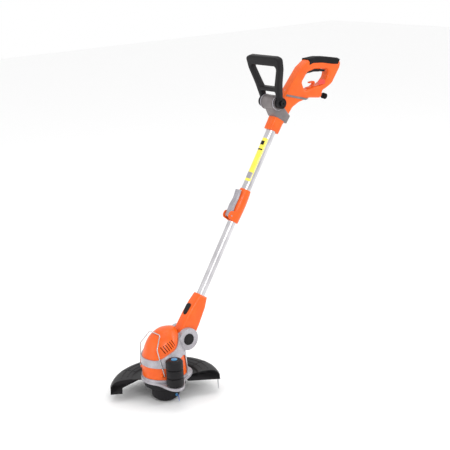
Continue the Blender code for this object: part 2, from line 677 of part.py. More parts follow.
def make_aux(shell_shape, shell_hull):
    hub = along_x(rod(HUB_R, -HUB_HALF, HUB_HALF, 32), AUX_FRONT, AUX_ALONG)
    bracket = finished("hub_bracket", hub, GREY, shaft)
    strap = rounded([
        (0.0460, 0.7280, 0.010), (0.0200, 0.7120, 0.0), (-0.0290, 0.7120, 0.0), (-0.0310, 0.7380, 0.0),
        (0.0180, 0.7560, 0.0), (0.0400, 0.7600, 0.008),
    ])
    add(bracket, "strap", slab(strap, both_sides(round_over(HANDLE_HALF + 0.0032, 0.006, 2)), side), shaft)
    cut([bracket], "neck_room", slab(shell_shape, shell_hull, side), shaft)
    reach = AUX_BOSS_FACE + 0.0010
    cut([bracket], "hub_bolt", along_x(rod(HUB_BOLT_R + GAP, -0.06, 0.06, 16), AUX_FRONT, AUX_ALONG), shaft)

    bolt = turned([
        (0, -reach - 0.004), (0.0085, -reach - 0.004), (0.0085, -reach), (HUB_BOLT_R, -reach), (HUB_BOLT_R, reach),
        (0.0085, reach), (0.0085, reach + 0.004), (0, reach + 0.004),
    ], 16)
    finished("hub_bolt", along_x(bolt, AUX_FRONT, AUX_ALONG), BLACK, shaft)

    pivot = frame_empty("aux_frame", shaft, side(AUX_FRONT, AUX_ALONG, 0), (LEAN + AUX_TILT, 0, 0))

    def front(a, b, height):
        return Vector((a, height, b))

    top = AUX_REACH
    low = top - AUX_BAR
    inner = HUB_HALF + GAP + RUN
    half = [
        (AUX_BOSS_FACE - 0.0008, -AUX_BOSS_R + 0.004, 0.0), (AUX_BOSS_FACE - 0.0008, 0.018, 0.010), (0.0560, 0.060, 0.060),
        (AUX_TOP_HALF - 0.004, 0.105, 0.040), (AUX_TOP_HALF, top - 0.006, 0.010),
        (AUX_TOP_HALF - 0.018, top, 0.016),
    ]
    outline = [(-a, b, r) for a, b, r in half] + [(a, b, r) for a, b, r in reversed(half)]
    feet = [(inner + 0.0006, -AUX_BOSS_R + 0.004, 0.0), (inner + 0.0006, 0.0360, 0.004)]
    outline = outline + feet + [(-a, b, r) for a, b, r in reversed(feet)]
    window = [(0.0310, 0.0500, 0.006), (0.0440, 0.0800, 0.040), (0.0590, low, 0.008)]
    window = window + [(-a, b, r) for a, b, r in reversed(window)]
    body = finished("aux_handle", slab(rounded(outline), both_sides(round_over(AUX_DEPTH / 2, 0.006, 2)), front,
                                       [rounded(window)]), BLACK, pivot)
    boss = Matrix.Rotation(math.pi / 2, 4, "Y")
    for name, sign in (("left", 1), ("right", -1)):
        pad = rod(AUX_BOSS_R, inner, AUX_BOSS_FACE, 24)
        add(body, f"aux_boss_{name}", pad, pivot, rotation=(0, sign * math.pi / 2, 0))
    cut([body], "aux_bolt", rod(HUB_BOLT_R + GAP, -0.06, 0.06, 16, boss), pivot)


# ---------------------------------------------------------------- connector

CONNECTOR = [
    (0.0155, CONNECTOR_TOP, 0.0), (0.0225, 0.105, 0.030), (0.0270, 0.070, 0.040),
    (CONNECTOR_EYE_R, 0.020, 0.030), (CONNECTOR_EYE_R, -CONNECTOR_EYE_R, CONNECTOR_EYE_R),
    (-CONNECTOR_EYE_R, -CONNECTOR_EYE_R, CONNECTOR_EYE_R), (-CONNECTOR_EYE_R, 0.050, 0.060),
    (-0.0250, 0.105, 0.020), (-0.0165, CONNECTOR_TOP, 0.0),
]


def make_connector():
    outline = rounded(CONNECTOR)
    edge = round_over(CONNECTOR_HALF, CONNECTOR_ROUND)
    left = finished("connector_left", slab(outline, [(SPLIT, 0)] + edge, side), ORANGE, shaft)
    right = finished("connector_right", slab(outline, [(-h, i) for h, i in reversed(edge)] + [(-SPLIT, 0)], side),
                     ORANGE, shaft)
    shells = [left, right]
    bore = [
        (0, LOWER_TUBE_FOOT - RUN), (TUBE_R + GAP, LOWER_TUBE_FOOT - RUN), (TUBE_R + GAP, COLLAR_FOOT - GAP),
        (COLLAR_R + GAP, COLLAR_FOOT - GAP), (COLLAR_R + GAP, COLLAR_TOP + GAP), (TUBE_R + GAP, COLLAR_TOP + GAP),
        (TUBE_R + GAP, CONNECTOR_TOP + 0.01), (0, CONNECTOR_TOP + 0.01),
    ]
    cut(shells, "tube_bore", turned(bore, 26), shaft)
    cut(shells, "lead_bore", rod(LEAD_R + 0.002, 0.010, LOWER_TUBE_FOOT, 16), shaft)
    cut(shells, "axle_bore", along_x(rod(AXLE_R + GAP, -0.05, 0.05, 16)), shaft)
    cut(shells, "spring_bore", along_x(rod(TILT_SPRING_R + 0.0013, 0.0125, 0.05, 20)), shaft)

    def face(across, along, height):
        return Vector((across, -height, along))

    low = SWIVEL_BUTTON_ALONG - SWIVEL_BUTTON_HALF_LENGTH
    high = SWIVEL_BUTTON_ALONG + SWIVEL_BUTTON_HALF_LENGTH
    wide = SWIVEL_BUTTON_HALF_WIDTH
    oval = rounded([(-wide, low, wide), (wide, low, wide), (wide, high, wide), (-wide, high, wide)])
    deep = SWIVEL_BUTTON_BACK - SWIVEL_TRAVEL - RUN
    cut(shells, "button_room", slab(offset(oval, GAP), [(deep, 0), (0.05, 0)], face), shaft)
    levels = [(SWIVEL_BUTTON_BACK, 0)] + round_over(SWIVEL_BUTTON_FACE, 0.003, 1)
    finished("swivel_button", slab(oval, levels, face), BLACK, shaft)
    leaf = [Vector((-0.005, low + 0.008)), Vector((0.005, low + 0.008)), Vector((0.005, high - 0.008)),
            Vector((-0.005, high - 0.008))]
    leaf_back = COLLAR_R + GAP + 0.0003
    cut(shells, "leaf_room", slab(offset(leaf, GAP), [(COLLAR_R, 0), (deep + 0.001, 0)], face), shaft)
    finished("swivel_spring", slab(leaf, [(leaf_back, 0), (leaf_back + 0.0008, 0)], face), STEEL, shaft)

    finished("tilt_axle", along_x(rod(AXLE_R, -DISC_FACE + 0.003, 0.0120, 16)), STEEL, shaft)
    spring = helix(TILT_SPRING_R, 0.0137, 0.0226, 4)
    place = ALONG_X
    wire("tilt_spring", [place @ point for point in spring], 0.0006, STEEL, shaft, 0)
    button = turned([
        (0, 0.0170), (0.0040, 0.0170), (0.0040, TILT_BUTTON_BACK), (TILT_BUTTON_R, TILT_BUTTON_BACK),
        (TILT_BUTTON_R, TILT_BUTTON_FACE - 0.0015), (TILT_BUTTON_R - 0.0015, TILT_BUTTON_FACE), (0, TILT_BUTTON_FACE),
    ], 32)
    finished("tilt_button", along_x(button), BLACK, shaft)


# ---------------------------------------------------------------- head

BODY = [  # height, centre behind the spool's axis, half width, half length
    (BODY_FOOT, 0.000, 0.0655, 0.0655), (0.1000, 0.000, 0.0655, 0.0655), (BAND_FOOT, 0.000, BODY_R, BODY_R),
    (BAND_TOP, 0.000, 0.0630, 0.0635), (0.1550, 0.000, 0.0580, 0.0590), (0.1700, 0.0015, 0.0535, 0.0555),
    (0.1850, 0.0035, 0.0475, 0.0500), (0.1980, 0.0065, 0.0400, 0.0430), (0.2080, 0.0105, 0.0310, 0.0345),
    (0.2150, 0.0135, 0.0220, 0.0270), (0.2185, 0.0165, 0.0120, 0.0150), (0.2195, 0.0180, 0.0040, 0.0050),
]
TAPER = 0.22  # the upper body narrows towards the rear by this share


def body_section(z):
    """Centre, half width, half length and taper of the body at a height."""
    rows = BODY
    z = min(max(z, rows[0][0]), rows[-1][0])
    for low, high in zip(rows, rows[1:]):
        if z <= high[0]:
            t = (z - low[0]) / (high[0] - low[0])
            centre, wide, long = (a + (b - a) * t for a, b in zip(low[1:], high[1:]))
            taper = TAPER * min(1.0, max(0.0, (z - BAND_FOOT) / (0.170 - BAND_FOOT)))
            return centre, wide, long, taper
    return rows[-1][1], rows[-1][2], rows[-1][3], TAPER


def body_loop(z, grown, steps=32, lift=0.0):
    centre, wide, long, taper = body_section(z)
    points = []
    for k in range(steps):
        angle = math.tau * k / steps
        x = math.cos(angle)
        y = math.sin(angle)
        narrow = 1.0 - taper * max(0.0, y)
        points.append(Vector(((wide * narrow + grown) * x, centre + (long + grown) * y, z + lift)))
    return points


def body_solid(low, high, grown):
    """The body's shape between two heights, grown outwards, with the dome rising by as much."""
    heights = [low] + [row[0] for row in BODY if low < row[0] < high] + [high]
    top = BODY[-1][0]
    dome_foot = BAND_TOP
    loops = []
    for z in heights:
        lift = grown * max(0.0, (z - dome_foot) / (top - dome_foot))
        loops.append(body_loop(z, grown, lift=lift))
    return stacked(loops)


def world_side(y, z, height):
    return Vector((height, y, z))


def disc_cylinder(radius, low, high, steps=30):
    place = Matrix.Translation((0, PIVOT_Y, PIVOT_Z)) @ ALONG_X
    return rod(radius, low, high, steps, place)


def make_head():
    housing = finished("motor_housing", body_solid(BODY_FOOT, BODY_SPLIT, 0), ORANGE)
    cut([housing], "housing_inside", body_solid(BODY_FOOT, BODY_SPLIT + 0.003, -BODY_WALL), location=(0, 0, 0.0105))
    for name, sign in (("left", 1), ("right", -1)):
        x, y, z = WIRE_PIVOT
        place = Matrix.Translation((0, y, z)) @ Matrix.Rotation(sign * math.pi / 2, 4, "Y")
        add(housing, f"wire_boss_{name}", rod(0.0048, 0.0475, x - 0.0055, 16, place))
        cut([housing], f"wire_hole_{name}", rod(WIRE_R + GAP, 0.0505, 0.08, 12, place))
    bearing = [(0, 0.0800), (0.0062, 0.0800), (0.0062, 0.0850), (BEARING_R + GAP, 0.0850), (BEARING_R + GAP, 0.10),
               (0, 0.10)]
    cut([housing], "bearing_seat", turned(bearing, 24))

    dome = finished("dome_cover", body_solid(BODY_SPLIT + GAP, BODY[-1][0], 0), ORANGE)
    cut([dome], "dome_inside", body_solid(BODY_SPLIT - 0.006, BODY[-1][0], -BODY_WALL))
    recess = disc_cylinder(DISC_R + GAP, -DISC_FACE - GAP, DISC_FACE + GAP)
    cut([dome, housing], "pivot_recess", recess)
    room = (-CONNECTOR_HALF - RUN, CONNECTOR_HALF + RUN)
    cut([dome, housing], "eye_recess", disc_cylinder(CONNECTOR_EYE_R + 3 * RUN, *room))
    swept = slab(offset(rounded(CONNECTOR), RUN), [(room[0], 0), (room[1], 0)], side)
    cut([dome], "tilt_room", swept, None, (0, PIVOT_Y, PIVOT_Z), (FORWARD_TILT - LEAN, 0, 0))

    # Silver yoke: a band round the front, an arm up to each pivot disc, and a leg at each side.
    yoke = finished("yoke", body_solid(BODY_FOOT + GAP, 0.2150, BAND_WALL), SILVER)
    mask = rounded([
        (-0.080, BAND_FOOT, 0.001), (-0.080, BAND_TOP, 0.001), (-0.050, BAND_TOP, 0.030), (-0.020, 0.1560, 0.040),
        (0.0150, 0.1700, 0.040), (0.0340, 0.1930, 0.030), (0.0560, 0.2050, 0.006), (0.0700, 0.1900, 0.004),
        (0.0700, 0.1500, 0.004), (0.0560, 0.1400, 0.006), (0.0560, BODY_FOOT + 0.0005, 0.002),
        (0.0440, BODY_FOOT + 0.0005, 0.002), (0.0430, 0.1380, 0.008), (0.0300, 0.1420, 0.010),
        (-0.0050, 0.1330, 0.030), (-0.0250, BAND_FOOT, 0.012),
    ])
    keep(yoke, "yoke_outline", slab(mask, [(-0.09, 0), (0.09, 0)], world_side))
    cut([yoke], "yoke_inside", body_solid(BODY_FOOT, BODY[-1][0], GAP))
    add(yoke, "disc_left", disc_cylinder(DISC_R, 0.0140, DISC_FACE))
    add(yoke, "disc_right", disc_cylinder(DISC_R, -DISC_FACE, -0.0140))
    cut([yoke], "connector_room", disc_cylinder(0.040, -CONNECTOR_HALF - RUN, CONNECTOR_HALF + RUN))
    cut([yoke], "button_bore", disc_cylinder(TILT_BUTTON_R + RUN, TILT_BUTTON_BACK - TILT_TRAVEL - RUN, 0.05, 26))
    cut([yoke], "spring_way", disc_cylinder(TILT_SPRING_R + 0.0013, 0.015, 0.05, 14))
    cut([yoke], "axle_way", disc_cylinder(AXLE_R + GAP, -DISC_FACE + 0.003 - GAP, 0, 12))
    cap = finished("pivot_cap", disc_cylinder(TILT_BUTTON_R, -TILT_BUTTON_FACE, -DISC_FACE + 0.0027 - 2 * GAP, 26),
                   BLACK)
    cut([yoke], "cap_seat", disc_cylinder(TILT_BUTTON_R + GAP, -0.05, -DISC_FACE + 0.0027 - GAP, 26))
    return cap


def plate_outline(steps=56):
    """Round under the body, with a lobe under the roller and a wider flange at the rear."""
    lobe_at = math.atan2(ROLLER_Y, ROLLER_X)
    lobe = math.hypot(ROLLER_X, ROLLER_Y) + ROLLER_R + 0.005 - PLATE_R
    points = []
    for k in range(steps):
        angle = math.tau * k / steps
        near = math.remainder(angle - lobe_at, math.tau)
        behind = math.remainder(angle - math.pi / 2, math.tau)
        radius = PLATE_R + lobe * math.exp(-(near / 0.36) ** 2) + 0.018 * math.exp(-(behind / 0.75) ** 2)
        points.append(Vector((radius * math.cos(angle), radius * math.sin(angle))))
    return points


def flat(a, b, height):
    return Vector((a, b, height))


def make_base():
    top = PLATE_FOOT + PLATE_THICK
    levels = [(PLATE_FOOT, 0.0015), (PLATE_FOOT + 0.0015, 0), (top - 0.0015, 0), (top, 0.0015)]
    hole = circle(0, 0, 0.0300, 24)
    plate = finished("base_plate", slab(plate_outline(), levels, flat, [hole]), SILVER)
    add(plate, "plate_ring", sleeve(0.0340, COLLAR_RING_R, top - 0.004, BODY_FOOT - GAP, 32))
    foot = PLATE_FOOT - GAP
    finished("spool_skirt", turned([
        (0.0300, foot - 0.0030), (SKIRT_NECK_R - 0.0035, foot - 0.0030), (SKIRT_NECK_R - 0.0035, foot - 0.0070),
        (SKIRT_R - 0.0050, foot - 0.0070), (SKIRT_R - 0.0050, SKIRT_FOOT), (SKIRT_R - 0.0030, SKIRT_FOOT),
        (SKIRT_R - 0.0008, SKIRT_FOOT + 0.0015), (SKIRT_R, foot - 0.0042), (SKIRT_NECK_R, foot - 0.0038),
        (SKIRT_NECK_R, foot), (0.0300, foot),
    ], 40), BLACK)

    axle = turned([
        (0, top + GAP), (0.0110, top + GAP), (0.0110, ROLLER_FOOT - GAP), (ROLLER_PIN_R, ROLLER_FOOT - GAP),
        (ROLLER_PIN_R, ROLLER_TOP - 0.004), (0, ROLLER_TOP - 0.004),
    ], 16)
    finished("roller_axle", axle, STEEL, location=(ROLLER_X, ROLLER_Y, 0))
    height = (ROLLER_TOP - ROLLER_FOOT) / 3
    profile = [(ROLLER_PIN_R + RUN, ROLLER_FOOT)]
    for ring in range(3):
        low = ROLLER_FOOT + ring * height
        high = low + height
        for share, radius in ((0.00, -ROLLER_GROOVE), (0.14, 0.0), (0.86, 0.0), (1.00, -ROLLER_GROOVE)):
            if not (ring and share == 0.0):
                profile.append((ROLLER_R + radius, low + (high - low) * share))
    profile += [(ROLLER_R - 0.006, ROLLER_TOP + 0.003), (ROLLER_CAP_R + GAP, ROLLER_TOP + 0.003)]
    profile += [(ROLLER_CAP_R + GAP, ROLLER_TOP), (ROLLER_PIN_R + RUN, ROLLER_TOP)]
    finished("roller", turned(profile, 32), BLACK, location=(ROLLER_X, ROLLER_Y, 0))
    cap = [(0, ROLLER_TOP + GAP), (ROLLER_CAP_R, ROLLER_TOP + GAP), (ROLLER_CAP_R, ROLLER_TOP + 0.0040),
           (ROLLER_CAP_R - 0.0015, ROLLER_TOP + 0.0055), (0, ROLLER_TOP + 0.0060)]
    finished("roller_cap", turned(cap, 20), BLUE, location=(ROLLER_X, ROLLER_Y, 0))


# ---------------------------------------------------------------- guard

def make_guard():
    steps = 22
    rings = []
    bm = bmesh.new()
    seat = PLATE_FOOT - GAP
    for k in range(steps + 1):
        share = k / steps
        angle = GUARD_REAR_END + (GUARD_FRONT_END - GUARD_REAR_END) * share
        fall = GUARD_FALL * max(0.0, (share - 0.3) / 0.7)
        foot = GUARD_FOOT_REAR + (GUARD_FOOT_FRONT - GUARD_FOOT_REAR) * share
        wall = GUARD_WALL
        section = [
            (GUARD_INNER_R, seat), (0.0940, seat), (0.1020, 0.0735 - 0.4 * fall), (0.1350, 0.0770 - 0.8 * fall),
            (0.1530, 0.0715 - fall), (GUARD_R, 0.0600 - fall), (GUARD_R, foot),
            (GUARD_R - wall, foot), (GUARD_R - wall, 0.0590 - fall), (0.1512, 0.0690 - fall),
            (0.1346, 0.0740 - 0.8 * fall), (0.1030, 0.0704 - 0.4 * fall), (0.0950, seat - wall),
            (GUARD_INNER_R, seat - wall),
        ]
        rings.append([bm.verts.new((r * math.cos(angle), r * math.sin(angle), z)) for r, z in section])
    skin(bm, rings)
    bm.faces.new(rings[0])
    bm.faces.new(rings[-1])
    bmesh.ops.triangulate(bm, faces=[face for face in bm.faces if len(face.verts) > 4])
    guard = finished("guard", bm, BLACK)

    def end_wall(name, angle, inward, corners):
        """A radial wall that closes an end of the guard."""
        radial = Vector((math.cos(angle), math.sin(angle), 0))
        along = Vector((-math.sin(angle), math.cos(angle), 0)) * inward

        def place(a, b, height):
            return radial * a + along * height + Vector((0, 0, b))

        add(guard, name, slab(rounded(corners), [(0.0004, 0), (GUARD_WALL, 0)], place))

    end_wall("front_wall", GUARD_FRONT_END, -1, [
        (GUARD_R - 0.001, GUARD_FOOT_FRONT, 0.0), (GUARD_R - 0.001, 0.0585 - GUARD_FALL, 0.004),
        (0.1525, 0.0700 - GUARD_FALL, 0.004), (0.1340, 0.0755 - 0.8 * GUARD_FALL, 0.0), (0.1150, 0.0645, 0.0),
        (0.1262, 0.0540, 0.012), (0.1275, GUARD_FOOT_FRONT, 0.0),
    ])
    end_wall("rear_wall", GUARD_REAR_END, 1, [
        (GUARD_R - 0.001, GUARD_FOOT_REAR, 0.0), (GUARD_R - 0.001, 0.0585, 0.004), (0.1525, 0.0700, 0.004),
        (0.1340, 0.0755, 0.0), (0.1030, 0.0718, 0.0), (0.0940, 0.0645, 0.0), (0.0640, 0.0645, 0.0),
        (0.0640, 0.0475, 0.004),
    ])

    # The cutter is a flat blade behind the rear wall, against the inside of the rim.
    middle = GUARD_REAR_END + math.asin(0.0118 / 0.1580)
    radial = Vector((math.cos(middle), math.sin(middle), 0))
    along = Vector((-math.sin(middle), math.cos(middle), 0))

    def against_rim(a, b, height):
        return radial * height + along * a + Vector((0, 0, b))

    blade = rounded([
        (-0.0082, 0.0135, 0.001), (0.0020, 0.0135, 0.001), (0.0082, 0.0260, 0.002), (0.0082, 0.0550, 0.002),
        (-0.0082, 0.0550, 0.002),
    ])
    finished("line_cutter", slab(blade, [(0.1564, 0), (0.1579, 0)], against_rim), STEEL)


# ---------------------------------------------------------------- plant guard wire

def make_wire():
    x, y, z = WIRE_PIVOT
    half = [
        Vector((0.0515, y, z)), Vector((x - 0.0035, y, z)), Vector((x + 0.0008, y - 0.0004, z + 0.0030)),
        Vector((x, y - 0.0012, z + 0.0090)), Vector((0.0545, -0.0455, 0.1290)), Vector((0.0450, -0.0500, 0.1700)),
        Vector((0.0430, -0.0495, 0.1760)), Vector((0.0400, -0.0455, 0.1820)), Vector((0.0290, -0.0300, 0.2045)),
        Vector((0.0262, -0.0270, 0.2085)), Vector((0.0220, -0.0262, 0.2095)),
    ]
    points = half + [Vector((-p.x, p.y, p.z)) for p in reversed(half)]
    wire("plant_guard", points, WIRE_R, STEEL)


# ---------------------------------------------------------------- motor and spool

def make_motor():
    bore = SHAFT_R + GAP
    finished("lower_bearing", sleeve(bore, BEARING_R, 0.0853, 0.0923), STEEL)
    finished("upper_bearing", sleeve(bore, 0.0090, 0.1590, 0.1650), STEEL)
    finished("bearing_bracket", turned([
        (0.0093, 0.1560), (STATOR_R, 0.1560), (STATOR_R, 0.1590), (0.0125, 0.1590), (0.0125, 0.1660), (0.0093, 0.1660),
    ], 24), BLACK)
    finished("stator", sleeve(ARMATURE_R + 0.0010, STATOR_R, 0.1060, 0.1440, 24), STEEL)
    finished("armature", sleeve(bore, ARMATURE_R, 0.1050, 0.1450, 24), COPPER)
    finished("commutator", sleeve(bore, 0.0110, 0.1462, 0.1550, 20), COPPER)
    finished("motor_shaft", rod(SHAFT_R, 0.0280, 0.1660, 16), STEEL)
    blades = 9
    outline = []
    for k in range(blades):
        start = math.tau * k / blades
        for radius, share in ((0.0110, 0.0), (0.0270, 0.16), (0.0270, 0.46), (0.0110, 0.55)):
            angle = start + share * math.tau / blades
            outline.append(Vector((radius * math.cos(angle), radius * math.sin(angle))))
    finished("cooling_fan", slab(outline, [(0.0955, 0), (0.1030, 0)], flat, [circle(0, 0, bore, 16)]), BLACK)


def make_spool():
    bore = SHAFT_R + GAP
    roof = CUP_TOP - 0.0030
    inner = CUP_R - CUP_WALL
    cup = finished("spool_cup", turned([
        (bore, 0.0300), (0.0075, 0.0300), (0.0075, roof), (inner, roof), (inner, CUP_FOOT), (CUP_R - 0.0020, CUP_FOOT),
        (CUP_R, CUP_FOOT + 0.0060), (CUP_R, CUP_TOP - 0.003), (CUP_R - 0.003, CUP_TOP), (0.0100, CUP_TOP),
        (0.0100, CUP_TOP + 0.0080), (bore, CUP_TOP + 0.0080),
    ], 40), BLACK)
    turn = Matrix.Rotation(EYELET_ANGLE, 4, "Z") @ Matrix.Translation((0, 0, EYELET_Z)) @ ALONG_X
    cut([cup], "eyelet_hole", rod(0.0032 + GAP, 0.030, 0.050, 16, turn))
    finished("eyelet", turned([
        (0.0016, inner + 0.0005), (0.0032, inner + 0.0005), (0.0032, CUP_R + GAP), (0.0046, CUP_R + GAP),
        (0.0042, CUP_R + 0.0018), (0.0016, CUP_R + 0.0022),
    ], 16, turn), BLUE)
    finished("bump_knob", turned([
        (0, 0), (0.0185, 0), (0.0265, 0.0016), (0.0320, 0.0045), (KNOB_R, 0.0095), (KNOB_R, 0.0130), (0, 0.0130),
    ], 40), BLACK)
    spool_foot = 0.0130 + GAP
    finished("line_spool", turned([
        (0.0085, spool_foot), (SPOOL_R, spool_foot), (SPOOL_R, spool_foot + 0.0015),
        (SPOOL_HUB_R, spool_foot + 0.0015), (SPOOL_HUB_R, 0.0335), (SPOOL_R, 0.0335), (SPOOL_R, 0.0350),
        (0.0085, 0.0350),
    ], 32), BLACK)
    finished("line_winding", sleeve(SPOOL_HUB_R + GAP, SPOOL_R - 0.004, spool_foot + 0.0018, 0.0332, 24), LINE)
    coil = helix(0.0105, 0.0361, 0.0413, 3)
    wire("spool_spring", coil, 0.0005, STEEL, None, 0)

    out = Vector((math.cos(EYELET_ANGLE), math.sin(EYELET_ANGLE), 0))
    start = CUP_R + 0.0022 + GAP
    route = [
        (0.000, 0.0000), (0.0025, 0.0000), (0.0046, -0.0010), (0.0060, -0.0032), (0.0067, -0.0062), (0.0070, -0.0100),
        (0.0072, -0.0140), (0.0074, -0.0178),
    ]
    points = [out * (start + away) + Vector((0, 0, EYELET_Z + down)) for away, down in route]
    wire("line_end", smooth_path(points, 2), LINE_R, LINE)


make_tubes()
make_clamp()
shape, hull = make_handle()
make_aux(shape, hull)
make_connector()
make_head()
make_base()
make_guard()
make_wire()
make_motor()
make_spool()
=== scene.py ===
"""The finished look of the string trimmer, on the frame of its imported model.

Metres, +Z up. Each main piece is modelled again with fine curves on the sizes of the solid
it stands for, and rides on the same body. The solids that stay get their real finishes.
"""

import json
import math

import bmesh
import bpy
from mathutils import Matrix, Vector
from mathutils.geometry import tessellate_polygon

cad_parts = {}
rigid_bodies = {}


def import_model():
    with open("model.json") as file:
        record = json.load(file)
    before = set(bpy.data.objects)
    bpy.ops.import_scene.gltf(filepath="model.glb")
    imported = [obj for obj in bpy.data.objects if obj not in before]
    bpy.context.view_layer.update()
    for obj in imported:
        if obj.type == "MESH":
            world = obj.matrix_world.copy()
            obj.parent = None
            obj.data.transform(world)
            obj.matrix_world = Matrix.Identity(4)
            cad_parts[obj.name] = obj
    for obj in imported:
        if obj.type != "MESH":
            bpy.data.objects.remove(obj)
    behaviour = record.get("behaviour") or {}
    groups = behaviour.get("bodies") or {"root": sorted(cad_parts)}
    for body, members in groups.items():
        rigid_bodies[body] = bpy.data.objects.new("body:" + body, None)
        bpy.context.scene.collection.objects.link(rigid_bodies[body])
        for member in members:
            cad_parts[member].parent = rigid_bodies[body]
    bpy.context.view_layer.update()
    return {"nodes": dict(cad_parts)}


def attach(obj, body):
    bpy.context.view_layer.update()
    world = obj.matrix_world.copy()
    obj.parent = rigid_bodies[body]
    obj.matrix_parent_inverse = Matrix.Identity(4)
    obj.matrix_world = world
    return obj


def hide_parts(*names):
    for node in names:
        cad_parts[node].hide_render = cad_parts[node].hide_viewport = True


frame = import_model()


# Clearances
GAP = 0.0003  # between pieces that touch
RUN = 0.0005  # round a piece that turns or slides
SPLIT = 0.00015  # each half shell stops this far from the middle plane

# Shaft
LEAN = math.radians(33.0)  # shaft from the vertical
PIVOT_Y = 0.070  # tilt pivot behind the spool's axis
PIVOT_Z = 0.174
TUBE_R = 0.0125  # lower tube
TUBE_WALL = 0.0012
OUTER_TUBE_R = 0.0145  # upper tube
OUTER_TUBE_WALL = 0.0013
LOWER_TUBE_FOOT = 0.052  # heights along the shaft, from the tilt pivot
LOWER_TUBE_TOP = 0.520
UPPER_TUBE_FOOT = 0.402
UPPER_TUBE_TOP = 0.803
LEAD_R = 0.0035

# Telescope clamp
CLAMP_FOOT = 0.372
CLAMP_TOP = 0.476
CLAMP_R = 0.0180
CLAMP_PIN_FRONT = 0.0225  # lever pivot, in front of the shaft's axis
CLAMP_PIN_ALONG = 0.385
CLAMP_PIN_R = 0.002
LUG_R = 0.0105
LUG_WALL = 0.0045
LEVER_HALF = 0.0110
LEVER_THICK = 0.0085
SHOE_HALF = 0.0065

# Connector at the foot of the shaft
CONNECTOR_TOP = 0.135
CONNECTOR_HALF = 0.0200
CONNECTOR_EYE_R = 0.0300
CONNECTOR_ROUND = 0.0110
COLLAR_R = 0.0150
COLLAR_FOOT = 0.062
COLLAR_TOP = 0.098
SWIVEL_BUTTON_ALONG = 0.080
SWIVEL_BUTTON_HALF_LENGTH = 0.0180
SWIVEL_BUTTON_HALF_WIDTH = 0.0090
SWIVEL_BUTTON_FACE = 0.0295
SWIVEL_BUTTON_BACK = 0.0205
SWIVEL_TRAVEL = 0.0025

# Tilt joint
DISC_R = 0.0330
DISC_FACE = 0.0330  # outer face of each pivot disc
DISC_INNER = 0.0140  # inner face of each pivot disc, before the connector's room is cut
CAP_SUNK = 0.0027  # depth of the cap's seat in the disc
AXLE_R = 0.0050
TILT_BUTTON_R = 0.0168
TILT_BUTTON_FACE = 0.0362
TILT_BUTTON_BACK = 0.0285
TILT_TRAVEL = 0.0040
FORWARD_TILT = math.radians(15.0)  # how far the shaft leans over the dome
TILT_SPRING_R = 0.0070

# Main handle
HANDLE_HALF = 0.0180
HANDLE_ROUND = 0.0080
GRIP_SKIN = 0.0018
TRIM_PROUD = 0.0022  # the trim band stands this far out of the handle
NOSE = 0.671
TRIGGER_HALF = 0.0068
TRIGGER_PIVOT = (-0.0160, 0.8620)
TRIGGER_TRAVEL = math.radians(4.0)
SCREW_R = 0.0016
SCREW_HEAD_R = 0.0032
SCREW_HEAD = 0.0020
CORD_EXIT = (-0.1180, 0.8525)
CORD_ANGLE = math.radians(12.0)  # the sleeve points back and slightly up the shaft
SLEEVE_R = 0.0062
SLEEVE_TIP_R = 0.0050
SLEEVE_BORE_R = 0.0032
SLEEVE_LENGTH = 0.031

# Second handle
AUX_FRONT = 0.040  # its pivot
AUX_ALONG = 0.749
AUX_TILT = math.radians(11.0)  # forward of the vertical
HUB_R = 0.0220
HUB_HALF = 0.0300
AUX_BOSS_R = 0.0165
AUX_BOSS_FACE = 0.0460
AUX_REACH = 0.145
AUX_TOP_HALF = 0.0770
AUX_DEPTH = 0.0210
AUX_BAR = 0.0290
HUB_BOLT_R = 0.0040

# Head
BODY_R = 0.0640
BODY_FOOT = 0.0825
BODY_SPLIT = 0.1295  # joint between motor housing and dome, behind the band
BODY_WALL = 0.0026
BAND_FOOT = 0.118
BAND_TOP = 0.141
BAND_WALL = 0.0032
PLATE_FOOT = 0.0663
PLATE_THICK = 0.0080
PLATE_R = 0.0700
COLLAR_RING_R = 0.0680
WIRE_R = 0.0015
WIRE_PIVOT = (0.0620, -0.0420, 0.0960)
SHAFT_R = 0.0040

# Edge roller
ROLLER_X = 0.092
ROLLER_Y = -0.026
ROLLER_R = 0.0250
ROLLER_FOOT = 0.0760
ROLLER_TOP = 0.1510
ROLLER_GROOVE = 0.0028
ROLLER_PIN_R = 0.0040
ROLLER_CAP_R = 0.0090

# Guard
GUARD_R = 0.1620
GUARD_INNER_R = 0.0590
GUARD_WALL = 0.0030
GUARD_FOOT_REAR = 0.0455  # the rim hangs lower towards the front end
GUARD_FOOT_FRONT = 0.0235
GUARD_REAR_END = math.radians(58.0)
GUARD_FRONT_END = math.radians(239.0)
GUARD_FALL = 0.0150  # the top is this much lower at the front end

# Spool
CUP_R = 0.0410
CUP_WALL = 0.0025
CUP_FOOT = 0.0105
CUP_TOP = 0.0450
SKIRT_R = 0.0625
SKIRT_NECK_R = 0.0575  # inside the guard's flange
SKIRT_FOOT = 0.0480
KNOB_R = 0.0350
EYELET_ANGLE = math.radians(14.0)
EYELET_Z = 0.0200
LINE_R = 0.0010


# ---------------------------------------------------------------- materials

def linear(code):
    """An sRGB hex colour as the linear values that a shader takes."""
    values = [int(code[k:k + 2], 16) / 255 for k in (1, 3, 5)]
    return tuple(v / 12.92 if v <= 0.04045 else ((v + 0.055) / 1.055) ** 2.4 for v in values) + (1.0,)


def add_node(tree, kind, inputs=None, **settings):
    """One node, with its settings, its values and its links."""
    made = tree.nodes.new(kind)
    for key, value in settings.items():
        setattr(made, key, value)
    for key, value in (inputs or {}).items():
        if isinstance(value, bpy.types.NodeSocket):
            tree.links.new(value, made.inputs[key])
        else:
            made.inputs[key].default_value = value
    return made


def start_material(name):
    made = bpy.data.materials.new(name)
    made.use_nodes = True
    tree = made.node_tree
    return made, tree, tree.nodes["Principled BSDF"]


